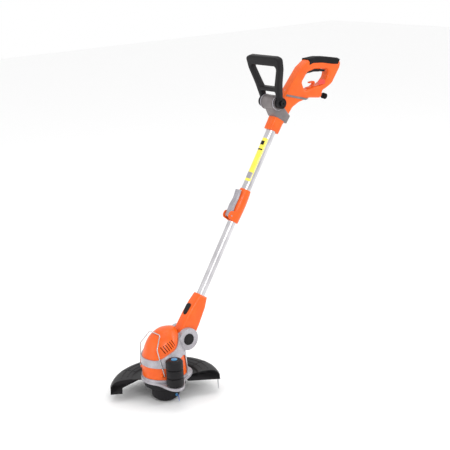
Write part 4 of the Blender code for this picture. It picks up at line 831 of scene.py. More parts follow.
def make_handle():
    outline = rounded(HANDLE)
    opening = rounded(HANDLE_OPENING)
    edge = round_over(HANDLE_HALF, HANDLE_ROUND)
    left = finished("handle_left", slab(outline, [(SPLIT, 0)] + edge, side, [opening]), ORANGE, shaft)
    right = finished("handle_right", slab(outline, [(-h, i) for h, i in reversed(edge)] + [(-SPLIT, 0)], side,
                                          [opening]), ORANGE, shaft)
    shells = [left, right]

    hook = rounded([
        (-0.0745, 0.8540, 0.0), (-0.0800, 0.8660, 0.008), (-0.0800, 0.8760, 0.005), (-0.0720, 0.8760, 0.006),
        (-0.0600, 0.8655, 0.001), (-0.0620, 0.8620, 0.001), (-0.0715, 0.8705, 0.003),
        (-0.0750, 0.8705, 0.003),
        (-0.0750, 0.8650, 0.006), (-0.0695, 0.8540, 0.0), (-0.0600, 0.8480, 0.0), (-0.0600, 0.8440, 0.0),
        (-0.0840, 0.8500, 0.0), (-0.0840, 0.8540, 0.0),
    ])
    hook_half = 0.0050
    hook_piece = finished("cord_hook", slab(hook, [(-hook_half, 0), (hook_half, 0)], side), ORANGE, shaft)
    deliver(hook_piece, "grip", "orange_plastic", "cord_hook", bevel=0.0004)
    room = hook_half + GAP
    cut(shells, "hook_root", slab(offset(hook, GAP), [(-room, 0), (room, 0)], side), shaft)

    cut(shells, "tube_seat", rod(OUTER_TUBE_R + GAP, NOSE - 0.01, UPPER_TUBE_TOP + GAP), shaft)
    trigger = rounded(TRIGGER)
    room = TRIGGER_HALF + RUN
    pressed = TRIGGER_TRAVEL + math.radians(0.4)
    slot = TRIGGER[:4] + [swung(corner, TRIGGER_PIVOT, pressed) for corner in TRIGGER[4:8]] + TRIGGER[8:]
    swept = offset(rounded(slot), RUN + 0.0004)
    cut(shells, "trigger_slot", slab(swept, [(-room, 0), (room, 0)], side), shaft)
    blade = finished("trigger", slab(trigger, both_sides(round_over(TRIGGER_HALF, 0.0015, 4)), side), BLACK,
                     shaft)
    for step in range(4):
        share = (step + 0.7) / 4.4
        front = TRIGGER[1][0] + (TRIGGER[3][0] - TRIGGER[1][0]) * share
        along = TRIGGER[1][1] + (TRIGGER[3][1] - TRIGGER[1][1]) * share - 0.0080
        cut([blade], f"finger_groove_{step}", along_x(rod(0.0093, -0.03, 0.03, 64), front, along), shaft)
    deliver(blade, "trigger", "black_plastic", "trigger", bevel=0.0003)

    for number, (front, along) in enumerate(HANDLE_SCREWS, 1):
        outer = HANDLE_HALF - 0.0005
        screw = turned([
            (0, -outer), (SCREW_HEAD_R, -outer), (SCREW_HEAD_R, -outer + SCREW_HEAD),
            (SCREW_R, -outer + SCREW_HEAD),
            (SCREW_R, 0.010), (0, 0.010),
        ])
        hole = turned([
            (0, -outer - 0.01), (SCREW_HEAD_R + GAP, -outer - 0.01),
            (SCREW_HEAD_R + GAP, -outer + SCREW_HEAD + GAP),
            (SCREW_R + GAP, -outer + SCREW_HEAD + GAP), (SCREW_R + GAP, 0.010 + GAP), (0, 0.010 + GAP),
        ])
        head = finished(f"handle_screw_{number}", along_x(screw, front, along), STEEL, shaft)
        for turn_by in (0.0, math.pi / 2):
            slot = box((-outer - 0.001, -0.0022, -0.0004), (-outer + 0.0012, 0.0022, 0.0004))
            turn_it = Matrix.Translation(side(front, along, 0)) @ Matrix.Rotation(turn_by + 0.3, 4, "X")
            bmesh.ops.transform(slot, matrix=turn_it, verts=slot.verts)
            cut([head], f"screw_slot_{number}_{turn_by:.0f}", slot, shaft)
        deliver(head, "grip", "steel", f"handle_screw_{number}")
        cut(shells, f"screw_{number}", along_x(hole, front, along), shaft)

    # Cord sleeve at the lower rear corner, pointing back.
    turn = Matrix.Translation(side(*CORD_EXIT, 0)) @ Matrix.Rotation(-math.pi / 2 + CORD_ANGLE, 4, "X")
    profile = [
        (SLEEVE_BORE_R, -0.008), (SLEEVE_R + 0.0025, -0.008), (SLEEVE_R + 0.0025, -0.0052),
        (SLEEVE_R, -0.0052),
        (SLEEVE_R, 0.004), (SLEEVE_TIP_R, SLEEVE_LENGTH), (SLEEVE_BORE_R, SLEEVE_LENGTH),
    ]
    tube = finished("cord_sleeve", turned(profile, 96, turn), RUBBER, shaft)
    for step in range(6):
        ring_at = 0.009 + 0.0034 * step
        ring = sleeve(SLEEVE_TIP_R - 0.0004, 0.009, ring_at, ring_at + 0.0014, 96, turn)
        cut([tube], f"sleeve_ring_{step}", ring, shaft)
    deliver(tube, "grip", "black_rubber", "cord_sleeve")
    room = [
        (0, -0.0095), (SLEEVE_R + 0.0025 + GAP, -0.0095), (SLEEVE_R + 0.0025 + GAP, -0.0049),
        (SLEEVE_R + GAP, -0.0049), (SLEEVE_R + GAP, 0.03), (0, 0.03),
    ]
    cut(shells, "sleeve_room", turned(room, 96, turn), shaft)
    deliver(left, "grip", "orange_plastic", "handle_left")
    deliver(right, "grip", "orange_plastic", "handle_right")

    # Rubber skin over the top of the grip.
    region = offset(rounded(GRIP_REGION), 0.0004)
    grip_half = HANDLE_HALF + GRIP_SKIN
    grip = finished("soft_grip", slab(region, both_sides(round_over(grip_half, 0.006, 7)), side), RUBBER,
                    shaft)
    shape = offset(outline, GAP)
    hull = both_sides(round_over(HANDLE_HALF + GAP, HANDLE_ROUND))
    cut([grip], "grip_inside", slab(shape, hull, side), shaft)
    deliver(grip, "grip", "black_rubber", "soft_grip", bevel=0.0003)

    band = [
        Vector((0.0140, 0.7830)), Vector((0.0140, 0.7890)), Vector((-0.0880, 0.8215)),
        Vector((-0.0880, 0.8150)),
    ]
    trim = finished("trim_band", slab(band, [(-HANDLE_HALF - TRIM_PROUD, 0), (HANDLE_HALF + TRIM_PROUD, 0)], side),
                    GREY, shaft)
    limit = offset(outline, TRIM_PROUD)
    tool = finished("keep_trim", slab(limit, both_sides(round_over(HANDLE_HALF + TRIM_PROUD, HANDLE_ROUND)),
                                      side),
                    GREY, shaft)
    boolean(trim, tool, "INTERSECT")
    cut([trim], "trim_inside", slab(shape, hull, side), shaft)
    deliver(trim, "grip", "grey_plastic", "trim_band", bevel=0.0003)
    return shape, hull



def make_mark():
    """A plain red printed patch on the left side of the handle."""
    shape = rounded([
        (-0.1000, 0.8960, 0.004), (-0.1090, 0.8855, 0.003), (-0.0860, 0.8700, 0.003),
        (-0.0775, 0.8840, 0.004),
    ])
    patch = finished("red_mark", slab(shape, [(HANDLE_HALF + 0.00004, 0), (HANDLE_HALF + 0.00018, 0)],
                                      side), RED, shaft)
    deliver(patch, "grip", "orange_plastic")


def make_aux(shell_shape, shell_hull):
    hub = along_x(rod(HUB_R, -HUB_HALF, HUB_HALF), AUX_FRONT, AUX_ALONG)
    bracket = finished("hub_bracket", hub, GREY, shaft)
    strap = rounded([
        (0.0460, 0.7280, 0.010), (0.0200, 0.7120, 0.0), (-0.0290, 0.7120, 0.0), (-0.0310, 0.7380, 0.0),
        (0.0180, 0.7560, 0.0), (0.0400, 0.7600, 0.008),
    ])
    add(bracket, "strap", slab(strap, both_sides(round_over(HANDLE_HALF + 0.0032, 0.006, 7)), side), shaft)
    cut([bracket], "neck_room", slab(shell_shape, shell_hull, side), shaft)
    reach = AUX_BOSS_FACE + 0.0010
    for sign in (-1, 1):
        groove = sleeve(HUB_R - 0.0010, HUB_R + 0.004, sign * 0.0235 - 0.0008, sign * 0.0235 + 0.0008, 128)
        cut([bracket], f"hub_groove_{sign}", along_x(groove, AUX_FRONT, AUX_ALONG), shaft)
    cut([bracket], "hub_bolt", along_x(rod(HUB_BOLT_R + GAP, -0.06, 0.06), AUX_FRONT, AUX_ALONG), shaft)

    bolt = turned([
        (0, -reach - 0.004), (0.0085, -reach - 0.004), (0.0085, -reach), (HUB_BOLT_R, -reach),
        (HUB_BOLT_R, reach),
        (0.0085, reach), (0.0085, reach + 0.004), (0, reach + 0.004),
    ])
    deliver(bracket, "grip", "grey_plastic", "hub_bracket", bevel=0.0004)
    knob = finished("hub_bolt", along_x(bolt, AUX_FRONT, AUX_ALONG), BLACK, shaft)
    for sign in (-1, 1):
        socket = bmesh.new()
        bmesh.ops.create_cone(socket, cap_ends=True, segments=6, radius1=0.0042, radius2=0.0042, depth=0.006)
        bmesh.ops.translate(socket, vec=(0, 0, sign * (reach + 0.0050)), verts=socket.verts)
        cut([knob], f"bolt_socket_{sign}", along_x(socket, AUX_FRONT, AUX_ALONG), shaft)
    deliver(knob, "grip", "black_plastic", "hub_bolt", bevel=0.0003)
    for sign, name in ((-1, "right"), (1, "left")):
        low = min(sign * HUB_HALF, sign * (HUB_HALF - 0.0035))
        ring = sleeve(HUB_R - 0.002, HUB_R + 0.0009, low, low + 0.0035, 128)
        rim = finished(f"hub_rim_{name}", along_x(ring, AUX_FRONT, AUX_ALONG), SILVER, shaft)
        deliver(rim, "grip", "silver_plastic", bevel=0.0003)

    pivot = frame_empty("aux_frame", shaft, side(AUX_FRONT, AUX_ALONG, 0), (LEAN + AUX_TILT, 0, 0))

    def front(a, b, height):
        return Vector((a, height, b))

    top = AUX_REACH
    low = top - AUX_BAR
    inner = HUB_HALF + GAP + RUN
    half = [
        (AUX_BOSS_FACE - 0.0008, -AUX_BOSS_R + 0.004, 0.0), (AUX_BOSS_FACE - 0.0008, 0.018, 0.010),
        (0.0560, 0.060, 0.060),
        (AUX_TOP_HALF - 0.004, 0.105, 0.040), (AUX_TOP_HALF, top - 0.006, 0.010),
        (AUX_TOP_HALF - 0.018, top, 0.016),
    ]
    outline = [(-a, b, r) for a, b, r in half] + [(a, b, r) for a, b, r in reversed(half)]
    feet = [(inner + 0.0006, -AUX_BOSS_R + 0.004, 0.0), (inner + 0.0006, 0.0360, 0.004)]
    outline = outline + feet + [(-a, b, r) for a, b, r in reversed(feet)]
    window = [(0.0310, 0.0500, 0.006), (0.0440, 0.0800, 0.040), (0.0590, low, 0.008)]
    window = window + [(-a, b, r) for a, b, r in reversed(window)]
    body = finished("aux_handle", slab(rounded(outline), both_sides(round_over(AUX_DEPTH / 2, 0.006, 7)),
                                       front,
                                       [rounded(window)]), BLACK, pivot)
    boss = Matrix.Rotation(math.pi / 2, 4, "Y")
    for name, sign in (("left", 1), ("right", -1)):
        pad = rod(AUX_BOSS_R, inner, AUX_BOSS_FACE)
        add(body, f"aux_boss_{name}", pad, pivot, rotation=(0, sign * math.pi / 2, 0))
    for sign in (-1, 1):
        dish = rod(AUX_BOSS_R - 0.0035, 0, 0.004)
        place = Matrix.Translation((sign * (AUX_BOSS_FACE - 0.0012), 0, 0)) @ Matrix.Rotation(
            sign * math.pi / 2, 4, "Y")
        bmesh.ops.transform(dish, matrix=place, verts=dish.verts)
        cut([body], f"boss_dish_{sign}", dish, pivot)
    cut([body], "aux_bolt", rod(HUB_BOLT_R + GAP, -0.06, 0.06, 96, boss), pivot)
    deliver(body, "aux_handle", "black_plastic", "aux_handle", bevel=0.0003)



CONNECTOR = [
    (0.0155, CONNECTOR_TOP, 0.0), (0.0225, 0.105, 0.030), (0.0270, 0.070, 0.040),
    (CONNECTOR_EYE_R, 0.020, 0.030), (CONNECTOR_EYE_R, -CONNECTOR_EYE_R, CONNECTOR_EYE_R),
    (-CONNECTOR_EYE_R, -CONNECTOR_EYE_R, CONNECTOR_EYE_R), (-CONNECTOR_EYE_R, 0.050, 0.060),
    (-0.0250, 0.105, 0.020), (-0.0165, CONNECTOR_TOP, 0.0),
]


def make_connector():
    outline = rounded(CONNECTOR)
    edge = round_over(CONNECTOR_HALF, CONNECTOR_ROUND)
    left = finished("connector_left", slab(outline, [(SPLIT, 0)] + edge, side), ORANGE, shaft)
    right = finished("connector_right", slab(outline, [(-h, i) for h, i in reversed(edge)] + [(-SPLIT, 0)],
                                             side),
                     ORANGE, shaft)
    shells = [left, right]
    bore = [
        (0, LOWER_TUBE_FOOT - RUN), (TUBE_R + GAP, LOWER_TUBE_FOOT - RUN), (TUBE_R + GAP, COLLAR_FOOT - GAP),
        (COLLAR_R + GAP, COLLAR_FOOT - GAP), (COLLAR_R + GAP, COLLAR_TOP + GAP),
        (TUBE_R + GAP, COLLAR_TOP + GAP),
        (TUBE_R + GAP, CONNECTOR_TOP + 0.01), (0, CONNECTOR_TOP + 0.01),
    ]
    cut(shells, "tube_bore", turned(bore), shaft)
    cut(shells, "lead_bore", rod(LEAD_R + 0.002, 0.010, LOWER_TUBE_FOOT), shaft)
    cut(shells, "axle_bore", along_x(rod(AXLE_R + GAP, -0.05, 0.05)), shaft)
    cut(shells, "spring_bore", along_x(rod(TILT_SPRING_R + 0.0013, 0.0125, 0.05)), shaft)

    def face(across, along, height):
        return Vector((across, -height, along))

    low = SWIVEL_BUTTON_ALONG - SWIVEL_BUTTON_HALF_LENGTH
    high = SWIVEL_BUTTON_ALONG + SWIVEL_BUTTON_HALF_LENGTH
    wide = SWIVEL_BUTTON_HALF_WIDTH
    oval = rounded([(-wide, low, wide), (wide, low, wide), (wide, high, wide), (-wide, high, wide)])
    deep = SWIVEL_BUTTON_BACK - SWIVEL_TRAVEL - RUN
    cut(shells, "button_room", slab(offset(oval, GAP), [(deep, 0), (0.05, 0)], face), shaft)
    levels = [(SWIVEL_BUTTON_BACK, 0)] + round_over(SWIVEL_BUTTON_FACE, 0.003, 4)
    button = finished("swivel_button", slab(oval, levels, face), BLACK, shaft)
    for step in range(5):
        along = SWIVEL_BUTTON_ALONG + 0.0042 * (step - 2)
        rib = box((-0.0060, -SWIVEL_BUTTON_FACE - 0.01, along - 0.0006),
                  (0.0060, -SWIVEL_BUTTON_FACE + 0.0005,
                                                                         along + 0.0006))
        cut([button], f"button_rib_{step}", rib, shaft)
    deliver(button, "swivel_button", "black_plastic", "swivel_button", bevel=0.0002)
    deliver(left, "connector", "orange_plastic", "connector_left")
    deliver(right, "connector", "orange_plastic", "connector_right")
    button = turned([
        (0, 0.0170), (0.0040, 0.0170), (0.0040, TILT_BUTTON_BACK), (TILT_BUTTON_R, TILT_BUTTON_BACK),
        (TILT_BUTTON_R, TILT_BUTTON_FACE - 0.0015), (TILT_BUTTON_R - 0.0015, TILT_BUTTON_FACE),
        (0, TILT_BUTTON_FACE),
    ])
    press = finished("tilt_button", along_x(button), BLACK, shaft)
    dish = sleeve(0.0105, 0.0118, TILT_BUTTON_FACE - 0.0006, TILT_BUTTON_FACE + 0.002)
    cut([press], "button_ring", along_x(dish), shaft)
    deliver(press, "tilt_button", "black_plastic", "tilt_button", bevel=0.0003)



BODY = [  # height, centre behind the spool's axis, half width, half length
    (BODY_FOOT, 0.000, 0.0655, 0.0655), (0.1000, 0.000, 0.0655, 0.0655), (BAND_FOOT, 0.000, BODY_R, BODY_R),
    (BAND_TOP, 0.000, 0.0630, 0.0635), (0.1550, 0.000, 0.0580, 0.0590), (0.1700, 0.0015, 0.0535, 0.0555),
    (0.1850, 0.0035, 0.0475, 0.0500), (0.1980, 0.0065, 0.0400, 0.0430), (0.2080, 0.0105, 0.0310, 0.0345),
    (0.2150, 0.0135, 0.0220, 0.0270), (0.2185, 0.0165, 0.0120, 0.0150), (0.2195, 0.0180, 0.0040, 0.0050),
]
TAPER = 0.22  # the upper body narrows towards the rear by this share
BODY_STEP = 0.0022  # between the body's rings


def smooth_between(before, low, high, after, column, t):
    """A value between two rows of BODY, on a curve that keeps the slope through each row."""
    span = high[0] - low[0]
    start = (high[column] - before[column]) / (high[0] - before[0]) * span
    end = (after[column] - low[column]) / (after[0] - low[0]) * span
    a, b = low[column], high[column]
    from_low = (2 * t ** 3 - 3 * t ** 2 + 1) * a + (t ** 3 - 2 * t ** 2 + t) * start
    return from_low + (3 * t ** 2 - 2 * t ** 3) * b + (t ** 3 - t ** 2) * end


def body_section(z):
    """Centre, half width, half length and taper of the body at a height."""
    rows = BODY
    z = min(max(z, rows[0][0]), rows[-1][0])
    for number, (low, high) in enumerate(zip(rows, rows[1:])):
        if z <= high[0]:
            t = (z - low[0]) / (high[0] - low[0])
            before = rows[max(0, number - 1)]
            after = rows[min(len(rows) - 1, number + 2)]
            centre, wide, long = [smooth_between(before, low, high, after, column, t) for column in (1, 2, 3)]
            taper = TAPER * min(1.0, max(0.0, (z - BAND_FOOT) / (0.170 - BAND_FOOT)))
            return centre, wide, long, taper
    return rows[-1][1], rows[-1][2], rows[-1][3], TAPER


def body_loop(z, grown, steps=144, lift=0.0):
    centre, wide, long, taper = body_section(z)
    points = []
    for k in range(steps):
        angle = math.tau * k / steps
        x = math.cos(angle)
        y = math.sin(angle)
        narrow = 1.0 - taper * max(0.0, y)
        points.append(Vector(((wide * narrow + grown) * x, centre + (long + grown) * y, z + lift)))
    return points


def body_solid(low, high, grown):
    """The body's shape between two heights, grown outwards, with the dome rising by as much."""
    count = max(2, round((high - low) / BODY_STEP))
    heights = [low + (high - low) * (k / count) for k in range(count + 1)]
    top = BODY[-1][0]
    dome_foot = BAND_TOP
    loops = []
    for z in heights:
        lift = grown * max(0.0, (z - dome_foot) / (top - dome_foot))
        loops.append(body_loop(z, grown, lift=lift))
    return stacked(loops)


def world_side(y, z, height):
    return Vector((height, y, z))


def disc_cylinder(radius, low, high, steps=112):
    place = Matrix.Translation((0, PIVOT_Y, PIVOT_Z)) @ ALONG_X
    return rod(radius, low, high, steps, place)


VENTS = 6
VENT_FRONT = (-0.030, 0.168)
VENT_REAR = (0.004, 0.184)
VENT_WIDTH = 0.0026
VENT_LENGTH = 0.020
VENT_TILT = math.radians(24.0)


def make_head():
    housing = finished("motor_housing", body_solid(BODY_FOOT, BODY_SPLIT, 0), ORANGE)
    cut([housing], "housing_inside", body_solid(BODY_FOOT, BODY_SPLIT + 0.003, -BODY_WALL),
        location=(0, 0, 0.0105))
    for name, sign in (("left", 1), ("right", -1)):
        x, y, z = WIRE_PIVOT
        place = Matrix.Translation((0, y, z)) @ Matrix.Rotation(sign * math.pi / 2, 4, "Y")
        add(housing, f"wire_boss_{name}", rod(0.0048, 0.0475, x - 0.0055, 96, place))
        cut([housing], f"wire_hole_{name}", rod(WIRE_R + GAP, 0.0505, 0.08, 96, place))
    dome = finished("dome_cover", body_solid(BODY_SPLIT + GAP, BODY[-1][0], 0), ORANGE)
    cut([dome], "dome_inside", body_solid(BODY_SPLIT - 0.006, BODY[-1][0], -BODY_WALL))
    recess = disc_cylinder(DISC_R + GAP, -DISC_FACE - GAP, DISC_FACE + GAP)
    cut([dome, housing], "pivot_recess", recess)
    room = (-CONNECTOR_HALF - RUN, CONNECTOR_HALF + RUN)
    cut([dome, housing], "eye_recess", disc_cylinder(CONNECTOR_EYE_R + 3 * RUN, *room))
    swept = slab(offset(rounded(CONNECTOR), RUN), [(room[0], 0), (room[1], 0)], side)
    cut([dome], "tilt_room", swept, None, (0, PIVOT_Y, PIVOT_Z), (FORWARD_TILT - LEAN, 0, 0))
    for sign in (-1, 1):
        for step in range(VENTS):
            share = step / (VENTS - 1)
            y = VENT_FRONT[0] + (VENT_REAR[0] - VENT_FRONT[0]) * share
            z = VENT_FRONT[1] + (VENT_REAR[1] - VENT_FRONT[1]) * share
            vent = box((0.020, -VENT_WIDTH / 2, -VENT_LENGTH / 2), (0.090, VENT_WIDTH / 2, VENT_LENGTH / 2))
            place = Matrix.Translation((0, y, z)) @ Matrix.Rotation(VENT_TILT, 4, "X")
            bmesh.ops.transform(vent, matrix=Matrix.Scale(sign, 4, (1, 0, 0)) @ place, verts=vent.verts)
            cut([dome], f"vent_{sign}_{step}", vent)
    deliver(housing, "head", "orange_plastic", "motor_housing")
    deliver(dome, "head", "orange_plastic", "dome_cover", bevel=0.0003)

    # Silver yoke: a band round the front, an arm up to each pivot disc, and a leg at each side.
    yoke = finished("yoke", body_solid(BODY_FOOT + GAP, 0.2150, BAND_WALL), SILVER)
    mask = rounded([
        (-0.080, BAND_FOOT, 0.001), (-0.080, BAND_TOP, 0.001), (-0.050, BAND_TOP, 0.030),
        (-0.020, 0.1560, 0.040),
        (0.0150, 0.1700, 0.040), (0.0340, 0.1930, 0.030), (0.0560, 0.2050, 0.006), (0.0700, 0.1900, 0.004),
        (0.0700, 0.1500, 0.004), (0.0560, 0.1400, 0.006), (0.0560, BODY_FOOT + 0.0005, 0.002),
        (0.0440, BODY_FOOT + 0.0005, 0.002), (0.0430, 0.1380, 0.008), (0.0300, 0.1420, 0.010),
        (-0.0050, 0.1330, 0.030), (-0.0250, BAND_FOOT, 0.012),
    ])
    keep(yoke, "yoke_outline", slab(mask, [(-0.09, 0), (0.09, 0)], world_side))
    cut([yoke], "yoke_inside", body_solid(BODY_FOOT, BODY[-1][0], GAP))
    add(yoke, "disc_left", disc_cylinder(DISC_R, DISC_INNER, DISC_FACE))
    add(yoke, "disc_right", disc_cylinder(DISC_R, -DISC_FACE, -DISC_INNER))
    cut([yoke], "connector_room", disc_cylinder(0.040, -CONNECTOR_HALF - RUN, CONNECTOR_HALF + RUN))
    cut([yoke], "button_bore", disc_cylinder(TILT_BUTTON_R + RUN, TILT_BUTTON_BACK - TILT_TRAVEL - RUN, 0.05))
    cut([yoke], "spring_way", disc_cylinder(TILT_SPRING_R + 0.0013, 0.015, 0.05))
    cut([yoke], "axle_way", disc_cylinder(AXLE_R + GAP, -DISC_FACE + 0.003 - GAP, 0))
    cap = finished("pivot_cap", disc_cylinder(TILT_BUTTON_R, -TILT_BUTTON_FACE,
                                              -DISC_FACE + CAP_SUNK - 2 * GAP),
                   BLACK)
    cut([yoke], "cap_seat", disc_cylinder(TILT_BUTTON_R + GAP, -0.05, -DISC_FACE + CAP_SUNK - GAP))
    deliver(yoke, "head", "silver_plastic", "yoke", bevel=0.0004)
    deliver(cap, "head", "black_plastic", "pivot_cap", bevel=0.0003)


def plate_outline(steps=240):
    """Round under the body, with a lobe under the roller and a wider flange at the rear."""
    lobe_at = math.atan2(ROLLER_Y, ROLLER_X)
    lobe = math.hypot(ROLLER_X, ROLLER_Y) + ROLLER_R + 0.005 - PLATE_R
    points = []
    for k in range(steps):
        angle = math.tau * k / steps
        near = math.remainder(angle - lobe_at, math.tau)
        behind = math.remainder(angle - math.pi / 2, math.tau)
        radius = PLATE_R + lobe * math.exp(-(near / 0.36) ** 2) + 0.018 * math.exp(-(behind / 0.75) ** 2)
        points.append(Vector((radius * math.cos(angle), radius * math.sin(angle))))
    return points


def flat(a, b, height):
    return Vector((a, b, height))


def make_base():
    top = PLATE_FOOT + PLATE_THICK
    levels = [(PLATE_FOOT, 0.0015), (PLATE_FOOT + 0.0015, 0), (top - 0.0015, 0), (top, 0.0015)]
    hole = circle(0, 0, 0.0300)
    plate = finished("base_plate", slab(plate_outline(), levels, flat, [hole]), SILVER)
    add(plate, "plate_ring", sleeve(0.0340, COLLAR_RING_R, top - 0.004, BODY_FOOT - GAP, 144))
    deliver(plate, "head", "silver_plastic", "base_plate", bevel=0.0003)
    foot = PLATE_FOOT - GAP
    skirt = finished("spool_skirt", turned([
        (0.0300, foot - 0.0030), (SKIRT_NECK_R - 0.0035, foot - 0.0030),
        (SKIRT_NECK_R - 0.0035, foot - 0.0070),
        (SKIRT_R - 0.0050, foot - 0.0070), (SKIRT_R - 0.0050, SKIRT_FOOT), (SKIRT_R - 0.0030, SKIRT_FOOT),
        (SKIRT_R - 0.0008, SKIRT_FOOT + 0.0015), (SKIRT_R, foot - 0.0042), (SKIRT_NECK_R, foot - 0.0038),
        (SKIRT_NECK_R, foot), (0.0300, foot),
    ], 144), BLACK)
    deliver(skirt, "head", "black_plastic", "spool_skirt", bevel=0.0004)

    axle = turned([
        (0, top + GAP), (0.0110, top + GAP), (0.0110, ROLLER_FOOT - GAP), (ROLLER_PIN_R, ROLLER_FOOT - GAP),
        (ROLLER_PIN_R, ROLLER_TOP - 0.004), (0, ROLLER_TOP - 0.004),
    ])
    pin = finished("roller_axle", axle, STEEL, location=(ROLLER_X, ROLLER_Y, 0))
    deliver(pin, "head", "steel", "roller_axle", bevel=0.0003)
    height = (ROLLER_TOP - ROLLER_FOOT) / 3
    profile = [(ROLLER_PIN_R + RUN, ROLLER_FOOT)]
    for ring in range(3):
        low = ROLLER_FOOT + ring * height
        high = low + height
        for k in range(13):
            share = k / 12
            away = min(1.0, min(share, 1.0 - share) / 0.16)
            sunk = 1.0 - math.sqrt(1.0 - (1.0 - away) ** 2) if away < 1.0 else 0.0
            radius = ROLLER_R - ROLLER_GROOVE * sunk
            if not (ring and k == 0):
                profile.append((radius, low + (high - low) * share))
    profile += [(ROLLER_R - 0.006, ROLLER_TOP + 0.003), (ROLLER_CAP_R + GAP, ROLLER_TOP + 0.003)]
    profile += [(ROLLER_CAP_R + GAP, ROLLER_TOP), (ROLLER_PIN_R + RUN, ROLLER_TOP)]
    wheel = finished("roller", turned(profile, 144), BLACK, location=(ROLLER_X, ROLLER_Y, 0))
    deliver(wheel, "roller", "black_plastic", "roller", sharp=40.0)
    cap = [(0, ROLLER_TOP + GAP), (ROLLER_CAP_R, ROLLER_TOP + GAP), (ROLLER_CAP_R, ROLLER_TOP + 0.0040),
           (ROLLER_CAP_R - 0.0015, ROLLER_TOP + 0.0055), (0, ROLLER_TOP + 0.0060)]
    top = finished("roller_cap", turned(cap), BLUE, location=(ROLLER_X, ROLLER_Y, 0))
    deliver(top, "roller", "blue_plastic", "roller_cap", bevel=0.0003)



def guard_top(fall):
    """The guard's upper side from the plate out to the rim, as radius and height."""
    return [
        (GUARD_INNER_R, PLATE_FOOT - GAP), (0.0940, PLATE_FOOT - GAP), (0.1020, 0.0735 - 0.4 * fall),
        (0.1350, 0.0770 - 0.8 * fall), (0.1530, 0.0715 - fall), (GUARD_R, 0.0600 - fall),
    ]


def on_guard(radius, share, lift):
    """A point on the guard's upper side, at a share of the way round it."""
    angle = GUARD_REAR_END + (GUARD_FRONT_END - GUARD_REAR_END) * share
    rows = smooth_path([Vector((r, z)) for r, z in guard_top(GUARD_FALL * max(0.0, (share - 0.3) / 0.7))], 6)
    height = rows[-1].y
    for low, high in zip(rows, rows[1:]):
        if low.x <= radius <= high.x:
            height = low.y + (high.y - low.y) * (radius - low.x) / (high.x - low.x)
            break
    return Vector((radius * math.cos(angle), radius * math.sin(angle), height + lift))


GUARD_BEADS = ((0.1120, 0.06, 0.94), (0.1290, 0.04, 0.96))  # radius, and shares of the way round
GUARD_SPOKES = (0.18, 0.82)


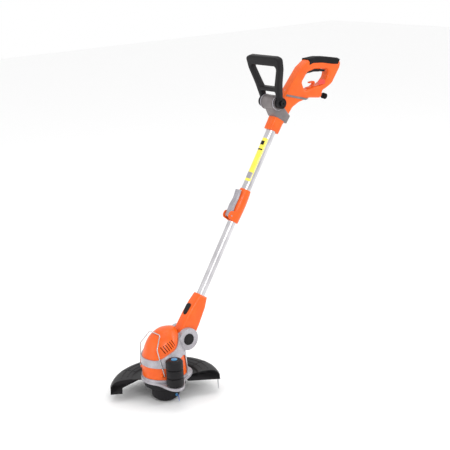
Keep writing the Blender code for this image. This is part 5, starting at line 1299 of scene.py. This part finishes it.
def make_guard():
    steps = 110
    rings = []
    bm = bmesh.new()
    for k in range(steps + 1):
        share = k / steps
        angle = GUARD_REAR_END + (GUARD_FRONT_END - GUARD_REAR_END) * share
        fall = GUARD_FALL * max(0.0, (share - 0.3) / 0.7)
        foot = GUARD_FOOT_REAR + (GUARD_FOOT_FRONT - GUARD_FOOT_REAR) * share
        wall = GUARD_WALL
        upper = smooth_path([Vector((r, z)) for r, z in guard_top(fall)], 6)
        lower = smooth_path([Vector((r, z)) for r, z in (
            (GUARD_R - wall, 0.0590 - fall), (0.1512, 0.0690 - fall), (0.1346, 0.0740 - 0.8 * fall),
            (0.1030, 0.0704 - 0.4 * fall), (0.0950, PLATE_FOOT - GAP - wall),
            (GUARD_INNER_R, PLATE_FOOT - GAP - wall),
        )], 6)
        section = [tuple(p) for p in upper] + [
            (GUARD_R, foot + 0.0036), (GUARD_R + 0.0006, foot + 0.0030), (GUARD_R + 0.0006, foot + 0.0004),
            (GUARD_R, foot), (GUARD_R - wall, foot),
        ] + [tuple(p) for p in lower]
        rings.append([bm.verts.new((r * math.cos(angle), r * math.sin(angle), z)) for r, z in section])
    skin(bm, rings)
    bm.faces.new(rings[0])
    bm.faces.new(rings[-1])
    bmesh.ops.triangulate(bm, faces=[face for face in bm.faces if len(face.verts) > 4])
    guard = finished("guard", bm, BLACK)

    def end_wall(name, angle, inward, corners):
        """A radial wall that closes an end of the guard."""
        radial = Vector((math.cos(angle), math.sin(angle), 0))
        along = Vector((-math.sin(angle), math.cos(angle), 0)) * inward

        def place(a, b, height):
            return radial * a + along * height + Vector((0, 0, b))

        add(guard, name, slab(rounded(corners), [(0.0004, 0), (GUARD_WALL, 0)], place))

    end_wall("front_wall", GUARD_FRONT_END, -1, [
        (GUARD_R - 0.001, GUARD_FOOT_FRONT, 0.0), (GUARD_R - 0.001, 0.0585 - GUARD_FALL, 0.004),
        (0.1525, 0.0700 - GUARD_FALL, 0.004), (0.1340, 0.0755 - 0.8 * GUARD_FALL, 0.0), (0.1150, 0.0645, 0.0),
        (0.1262, 0.0540, 0.012), (0.1275, GUARD_FOOT_FRONT, 0.0),
    ])
    end_wall("rear_wall", GUARD_REAR_END, 1, [
        (GUARD_R - 0.001, GUARD_FOOT_REAR, 0.0), (GUARD_R - 0.001, 0.0585, 0.004), (0.1525, 0.0700, 0.004),
        (0.1340, 0.0755, 0.0), (0.1030, 0.0718, 0.0), (0.0940, 0.0645, 0.0), (0.0640, 0.0645, 0.0),
        (0.0640, 0.0475, 0.004),
    ])
    deliver(guard, "head", "black_plastic", "guard", sharp=40.0)

    for number, (radius, start, end) in enumerate(GUARD_BEADS, 1):
        path = [on_guard(radius, start + (end - start) * k / 60, -0.0003) for k in range(61)]
        path_bead(f"guard_bead_{number}", path, 0.0013, BLACK, "head")
    for number, share in enumerate(GUARD_SPOKES, 1):
        path = [on_guard(0.1000 + (0.1500 - 0.1000) * k / 24, share, -0.0003) for k in range(25)]
        path_bead(f"guard_spoke_{number}", path, 0.0012, BLACK, "head")

    # The cutter is a flat blade behind the rear wall, against the inside of the rim.
    middle = GUARD_REAR_END + math.asin(0.0118 / 0.1580)
    radial = Vector((math.cos(middle), math.sin(middle), 0))
    along = Vector((-math.sin(middle), math.cos(middle), 0))

    def against_rim(a, b, height):
        return radial * height + along * a + Vector((0, 0, b))

    blade = rounded([
        (-0.0082, 0.0135, 0.001), (0.0020, 0.0135, 0.001), (0.0082, 0.0260, 0.002), (0.0082, 0.0550, 0.002),
        (-0.0082, 0.0550, 0.002),
    ])
    cutter = finished("line_cutter", slab(blade, [(0.1564, 0), (0.1579, 0)], against_rim), STEEL)
    deliver(cutter, "head", "steel", "line_cutter", bevel=0.0002)
    for number, across in enumerate((-0.0040, 0.0040), 1):
        levels = [(0.1566, 0), (0.1558, 0), (0.1552, 0.0008)]
        rivet = finished(f"cutter_rivet_{number}", slab(circle(across, 0.0490, 0.0018, 32), levels,
                                                        against_rim), STEEL)
        deliver(rivet, "head", "steel")


def path_bead(name, points, radius, look, body):
    """A round bead laid along a path, with closed ends."""
    tree, inlet, outlet = start_rule(name, {"Radius": "NodeSocketFloat", "Look": "NodeSocketMaterial"})
    ring = add_node(tree, "GeometryNodeCurvePrimitiveCircle", {
        "Resolution": 14, "Radius": inlet.outputs["Radius"],
    })
    tube = add_node(tree, "GeometryNodeCurveToMesh", {
        "Curve": inlet.outputs["Geometry"], "Profile Curve": ring.outputs["Curve"], "Fill Caps": True,
    })
    close_rule(tree, inlet, outlet, tube.outputs["Mesh"])
    curve = bpy.data.curves.new(name, "CURVE")
    curve.dimensions = "3D"
    spline = curve.splines.new("POLY")
    spline.points.add(len(points) - 1)
    for place, point in zip(spline.points, points):
        place.co = (*point, 1.0)
    return run_rule(name, curve, tree, {"Radius": radius, "Look": look}, body)


def ring_of_ribs(name, count, ring_radius, foot, thick, tall, look, body):
    """Upright half-round ribs set evenly round the spool's axis."""
    tree, inlet, outlet = start_rule(name, {
        "Count": "NodeSocketInt", "Ring Radius": "NodeSocketFloat", "Middle": "NodeSocketVector",
        "Thickness": "NodeSocketFloat", "Height": "NodeSocketFloat", "Look": "NodeSocketMaterial",
    })
    ring = add_node(tree, "GeometryNodeMeshCircle", {
        "Vertices": inlet.outputs["Count"], "Radius": inlet.outputs["Ring Radius"],
    })
    raised = add_node(tree, "GeometryNodeSetPosition", {
        "Geometry": ring.outputs["Mesh"], "Offset": inlet.outputs["Middle"],
    })
    rib = add_node(tree, "GeometryNodeMeshCylinder", {
        "Vertices": 14, "Side Segments": 1, "Radius": inlet.outputs["Thickness"],
        "Depth": inlet.outputs["Height"],
    })
    spread = add_node(tree, "GeometryNodeInstanceOnPoints", {
        "Points": raised.outputs["Geometry"], "Instance": rib.outputs["Mesh"],
    })
    close_rule(tree, inlet, outlet, spread.outputs["Instances"])
    seed = bpy.data.meshes.new(name)
    values = {
        "Count": count, "Ring Radius": ring_radius, "Middle": (0.0, 0.0, foot + tall / 2), "Thickness": thick,
        "Height": tall, "Look": look,
    }
    return run_rule(name, seed, tree, values, body)


def start_rule(name, sockets):
    tree = bpy.data.node_groups.new(name + "_rule", "GeometryNodeTree")
    tree.interface.new_socket(name="Geometry", in_out="INPUT", socket_type="NodeSocketGeometry")
    for label, kind in sockets.items():
        tree.interface.new_socket(name=label, in_out="INPUT", socket_type=kind)
    tree.interface.new_socket(name="Geometry", in_out="OUTPUT", socket_type="NodeSocketGeometry")
    return tree, add_node(tree, "NodeGroupInput"), add_node(tree, "NodeGroupOutput")


def close_rule(tree, inlet, outlet, result):
    """The end of every rule: real geometry in the piece's own material."""
    whole = add_node(tree, "GeometryNodeRealizeInstances", {"Geometry": result})
    dressed = add_node(tree, "GeometryNodeSetMaterial", {
        "Geometry": whole.outputs["Geometry"], "Material": inlet.outputs["Look"],
    })
    tree.links.new(dressed.outputs["Geometry"], outlet.inputs["Geometry"])


def run_rule(name, data, tree, values, body):
    """Runs a rule on its seed and puts the plain mesh that it gives on a body."""
    seed = bpy.data.objects.new("rule_" + name, data)
    bpy.context.scene.collection.objects.link(seed)
    rule = seed.modifiers.new("rule", "NODES")
    rule.node_group = tree
    for item in tree.interface.items_tree:
        if item.in_out == "INPUT" and item.name in values:
            rule[item.identifier] = values[item.name]
    bpy.context.view_layer.update()
    mesh = bpy.data.meshes.new_from_object(seed.evaluated_get(bpy.context.evaluated_depsgraph_get()))
    bpy.data.objects.remove(seed, do_unlink=True)
    piece = bpy.data.objects.new("skin_" + name, mesh)
    bpy.context.scene.collection.objects.link(piece)
    mesh.shade_smooth()
    mesh.set_sharp_from_angle(angle=math.radians(45.0))
    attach(piece, body)
    return piece


def make_wire():
    x, y, z = WIRE_PIVOT
    half = [
        Vector((0.0515, y, z)), Vector((x - 0.0035, y, z)), Vector((x + 0.0008, y - 0.0004, z + 0.0030)),
        Vector((x, y - 0.0012, z + 0.0090)), Vector((0.0545, -0.0455, 0.1290)),
        Vector((0.0450, -0.0500, 0.1700)),
        Vector((0.0430, -0.0495, 0.1760)), Vector((0.0400, -0.0455, 0.1820)),
        Vector((0.0290, -0.0300, 0.2045)),
        Vector((0.0262, -0.0270, 0.2085)), Vector((0.0220, -0.0262, 0.2095)),
    ]
    points = half + [Vector((-p.x, p.y, p.z)) for p in reversed(half)]
    deliver(wire("plant_guard", points, WIRE_R, WIRE), "plant_guard", "steel", "plant_guard", sharp=60.0)


def make_spool():
    bore = SHAFT_R + GAP
    roof = CUP_TOP - 0.0030
    inner = CUP_R - CUP_WALL
    cup = finished("spool_cup", turned([
        (bore, 0.0300), (0.0075, 0.0300), (0.0075, roof), (inner, roof), (inner, CUP_FOOT),
        (CUP_R - 0.0020, CUP_FOOT),
        (CUP_R - 0.0004, CUP_FOOT + 0.0024), (CUP_R, CUP_FOOT + 0.0060), (CUP_R, CUP_TOP - 0.003),
        (CUP_R - 0.0009, CUP_TOP - 0.0009), (CUP_R - 0.003, CUP_TOP), (0.0100, CUP_TOP),
        (0.0100, CUP_TOP + 0.0080), (bore, CUP_TOP + 0.0080),
    ], 144), BLACK)
    turn = Matrix.Rotation(EYELET_ANGLE, 4, "Z") @ Matrix.Translation((0, 0, EYELET_Z)) @ ALONG_X
    cut([cup], "eyelet_hole", rod(0.0032 + GAP, 0.030, 0.050, 96, turn))
    deliver(cup, "rotor", "black_plastic", "spool_cup")
    ring_of_ribs("cup_ribs", 40, CUP_R - 0.0006, CUP_TOP - 0.0140, 0.0009, 0.0105, BLACK, "rotor")
    eyelet = finished("eyelet", turned([
        (0.0016, inner + 0.0005), (0.0032, inner + 0.0005), (0.0032, CUP_R + GAP), (0.0046, CUP_R + GAP),
        (0.0045, CUP_R + 0.0012), (0.0040, CUP_R + 0.0019), (0.0030, CUP_R + 0.0023),
        (0.0020, CUP_R + 0.0021),
        (0.0016, CUP_R + 0.0016),
    ], 96, turn), BLUE)
    deliver(eyelet, "rotor", "blue_plastic", "eyelet", sharp=50.0)
    knob = finished("bump_knob", turned([
        (0, 0), (0.0120, 0.0001), (0.0185, 0.0003), (0.0230, 0.0008), (0.0265, 0.0016), (0.0295, 0.0028),
        (0.0320, 0.0045), (0.0336, 0.0066), (KNOB_R, 0.0095), (KNOB_R, 0.0130), (0, 0.0130),
    ], 144), BLACK)
    for number, (radius, width) in enumerate(((0.0105, 0.0011), (0.0185, 0.0011), (0.0250, 0.0011)), 1):
        cut([knob], f"knob_ring_{number}", sleeve(radius, radius + width, -0.01, 0.0018, 144))
    deliver(knob, "bump_knob", "black_plastic", "bump_knob", sharp=38.0)
    ring_of_ribs("knob_ribs", 28, KNOB_R - 0.0011, 0.0085, 0.0013, 0.0040, BLACK, "bump_knob")

    out = Vector((math.cos(EYELET_ANGLE), math.sin(EYELET_ANGLE), 0))
    start = CUP_R + 0.0022 + GAP
    route = [
        (0.000, 0.0000), (0.0025, 0.0000), (0.0046, -0.0010), (0.0060, -0.0032), (0.0067, -0.0062),
        (0.0070, -0.0100),
        (0.0072, -0.0140), (0.0074, -0.0178),
    ]
    points = [out * (start + away) + Vector((0, 0, EYELET_Z + down)) for away, down in route]
    deliver(wire("line_end", smooth_path(points, 5), LINE_R, LINE), "rotor", "blue_nylon", "line_end",
            sharp=60.0)


def dress_kept_solids():
    """The real finish of each solid that stays."""
    kept = {
        CABLE: ("lead_coil", "motor_lead"),
        BLACK: ("guide_bush", "switch_box", "cooling_fan", "line_spool"),
        RUBBER: ("clamp_shoe",),
        STEEL: ("tube_collar", "trigger_pin", "tilt_axle", "lower_bearing", "upper_bearing",
                "bearing_bracket",
                "motor_shaft"),
        SPRING: ("trigger_spring", "swivel_spring", "tilt_spring", "spool_spring"),
        LAMINATION: ("stator",),
        COPPER: ("armature", "commutator"),
        LINE: ("line_winding",),
    }
    for look, names in kept.items():
        for name in names:
            for place in frame["nodes"][name].material_slots:
                place.material = look


# ---------------------------------------------------------------- studio

def aim(made, place, target, roll=0.0):
    """Puts a light or a camera at a place, looking at a target."""
    back = (place - target).normalized()
    right = Vector((0, 0, 1)).cross(back).normalized()
    up = back.cross(right)
    across = right * math.cos(roll) + up * math.sin(roll)
    upright = up * math.cos(roll) - right * math.sin(roll)
    turn = Matrix((across, upright, back)).transposed()
    made.matrix_world = Matrix.Translation(place) @ turn.to_4x4()


def make_camera():
    azimuth = math.radians(53.09)
    elevation = math.radians(14.82)
    target = Vector((0, 0.2461, 0.4808))
    back = Vector((
        math.sin(azimuth) * math.cos(elevation), -math.cos(azimuth) * math.cos(elevation),
        math.sin(elevation),
    ))
    data = bpy.data.cameras.new("view")
    data.lens = 91.33
    data.sensor_width = 36.0
    data.clip_end = 50.0
    camera = bpy.data.objects.new("view", data)
    bpy.context.scene.collection.objects.link(camera)
    aim(camera, target + back * 3.4, target, math.radians(-2.6))
    bpy.context.scene.camera = camera


def softbox(name, place, size, power, tall=None):
    data = bpy.data.lights.new(name, "AREA")
    data.energy = power
    data.size = size
    if tall:
        data.shape = "RECTANGLE"
        data.size_y = tall
    light = bpy.data.objects.new(name, data)
    bpy.context.scene.collection.objects.link(light)
    aim(light, Vector(place), Vector((0, 0.25, 0.45)))


def make_studio():
    scene = bpy.context.scene
    scene.view_settings.view_transform = "Standard"
    world = bpy.data.worlds.new("studio")
    scene.world = world
    world.use_nodes = True
    world.node_tree.nodes["Background"].inputs["Color"].default_value = linear("#ffffff")
    world.node_tree.nodes["Background"].inputs["Strength"].default_value = 1.0
    softbox("key", (3.2, -1.2, 2.4), 1.2, 34.0)
    softbox("fill", (-0.6, -3.2, 1.4), 1.6, 10.0)
    softbox("strip", (1.4, 3.0, 2.0), 0.5, 24.0, 2.2)
    softbox("top", (0.0, 0.3, 3.4), 2.0, 14.0)
    paper, tree, bsdf = start_material("white_paper_sweep")
    place = add_node(tree, "ShaderNodeTexCoord")
    fibre = add_node(tree, "ShaderNodeTexNoise", {"Vector": place.outputs["Object"], "Scale": per_mm(1.5)})
    tone = add_node(tree, "ShaderNodeMix", {
        "Factor": fibre.outputs["Fac"], 6: linear("#f6f6f6"), 7: linear("#fdfdfd"),
    }, data_type="RGBA")
    tree.links.new(tone.outputs[2], bsdf.inputs["Base Color"])
    bsdf.inputs["Roughness"].default_value = 0.9
    bm = bmesh.new()
    bmesh.ops.create_grid(bm, x_segments=2, y_segments=2, size=9.0)
    bmesh.ops.translate(bm, vec=(0, 0, -0.0005), verts=bm.verts)
    mesh = bpy.data.meshes.new("floor")
    bm.to_mesh(mesh)
    bm.free()
    mesh.materials.append(paper)
    floor = bpy.data.objects.new("floor", mesh)
    bpy.context.scene.collection.objects.link(floor)


make_camera()
make_studio()
make_tubes()
make_label()
make_clamp()
shell_shape, shell_hull = make_handle()
make_mark()
make_aux(shell_shape, shell_hull)
make_connector()
make_head()
make_base()
make_guard()
make_wire()
make_spool()
dress_kept_solids()
clear_work()
for empty in [made for made in bpy.data.objects if made.type == "EMPTY" and made.name.endswith("_frame")]:
    bpy.data.objects.remove(empty, do_unlink=True)
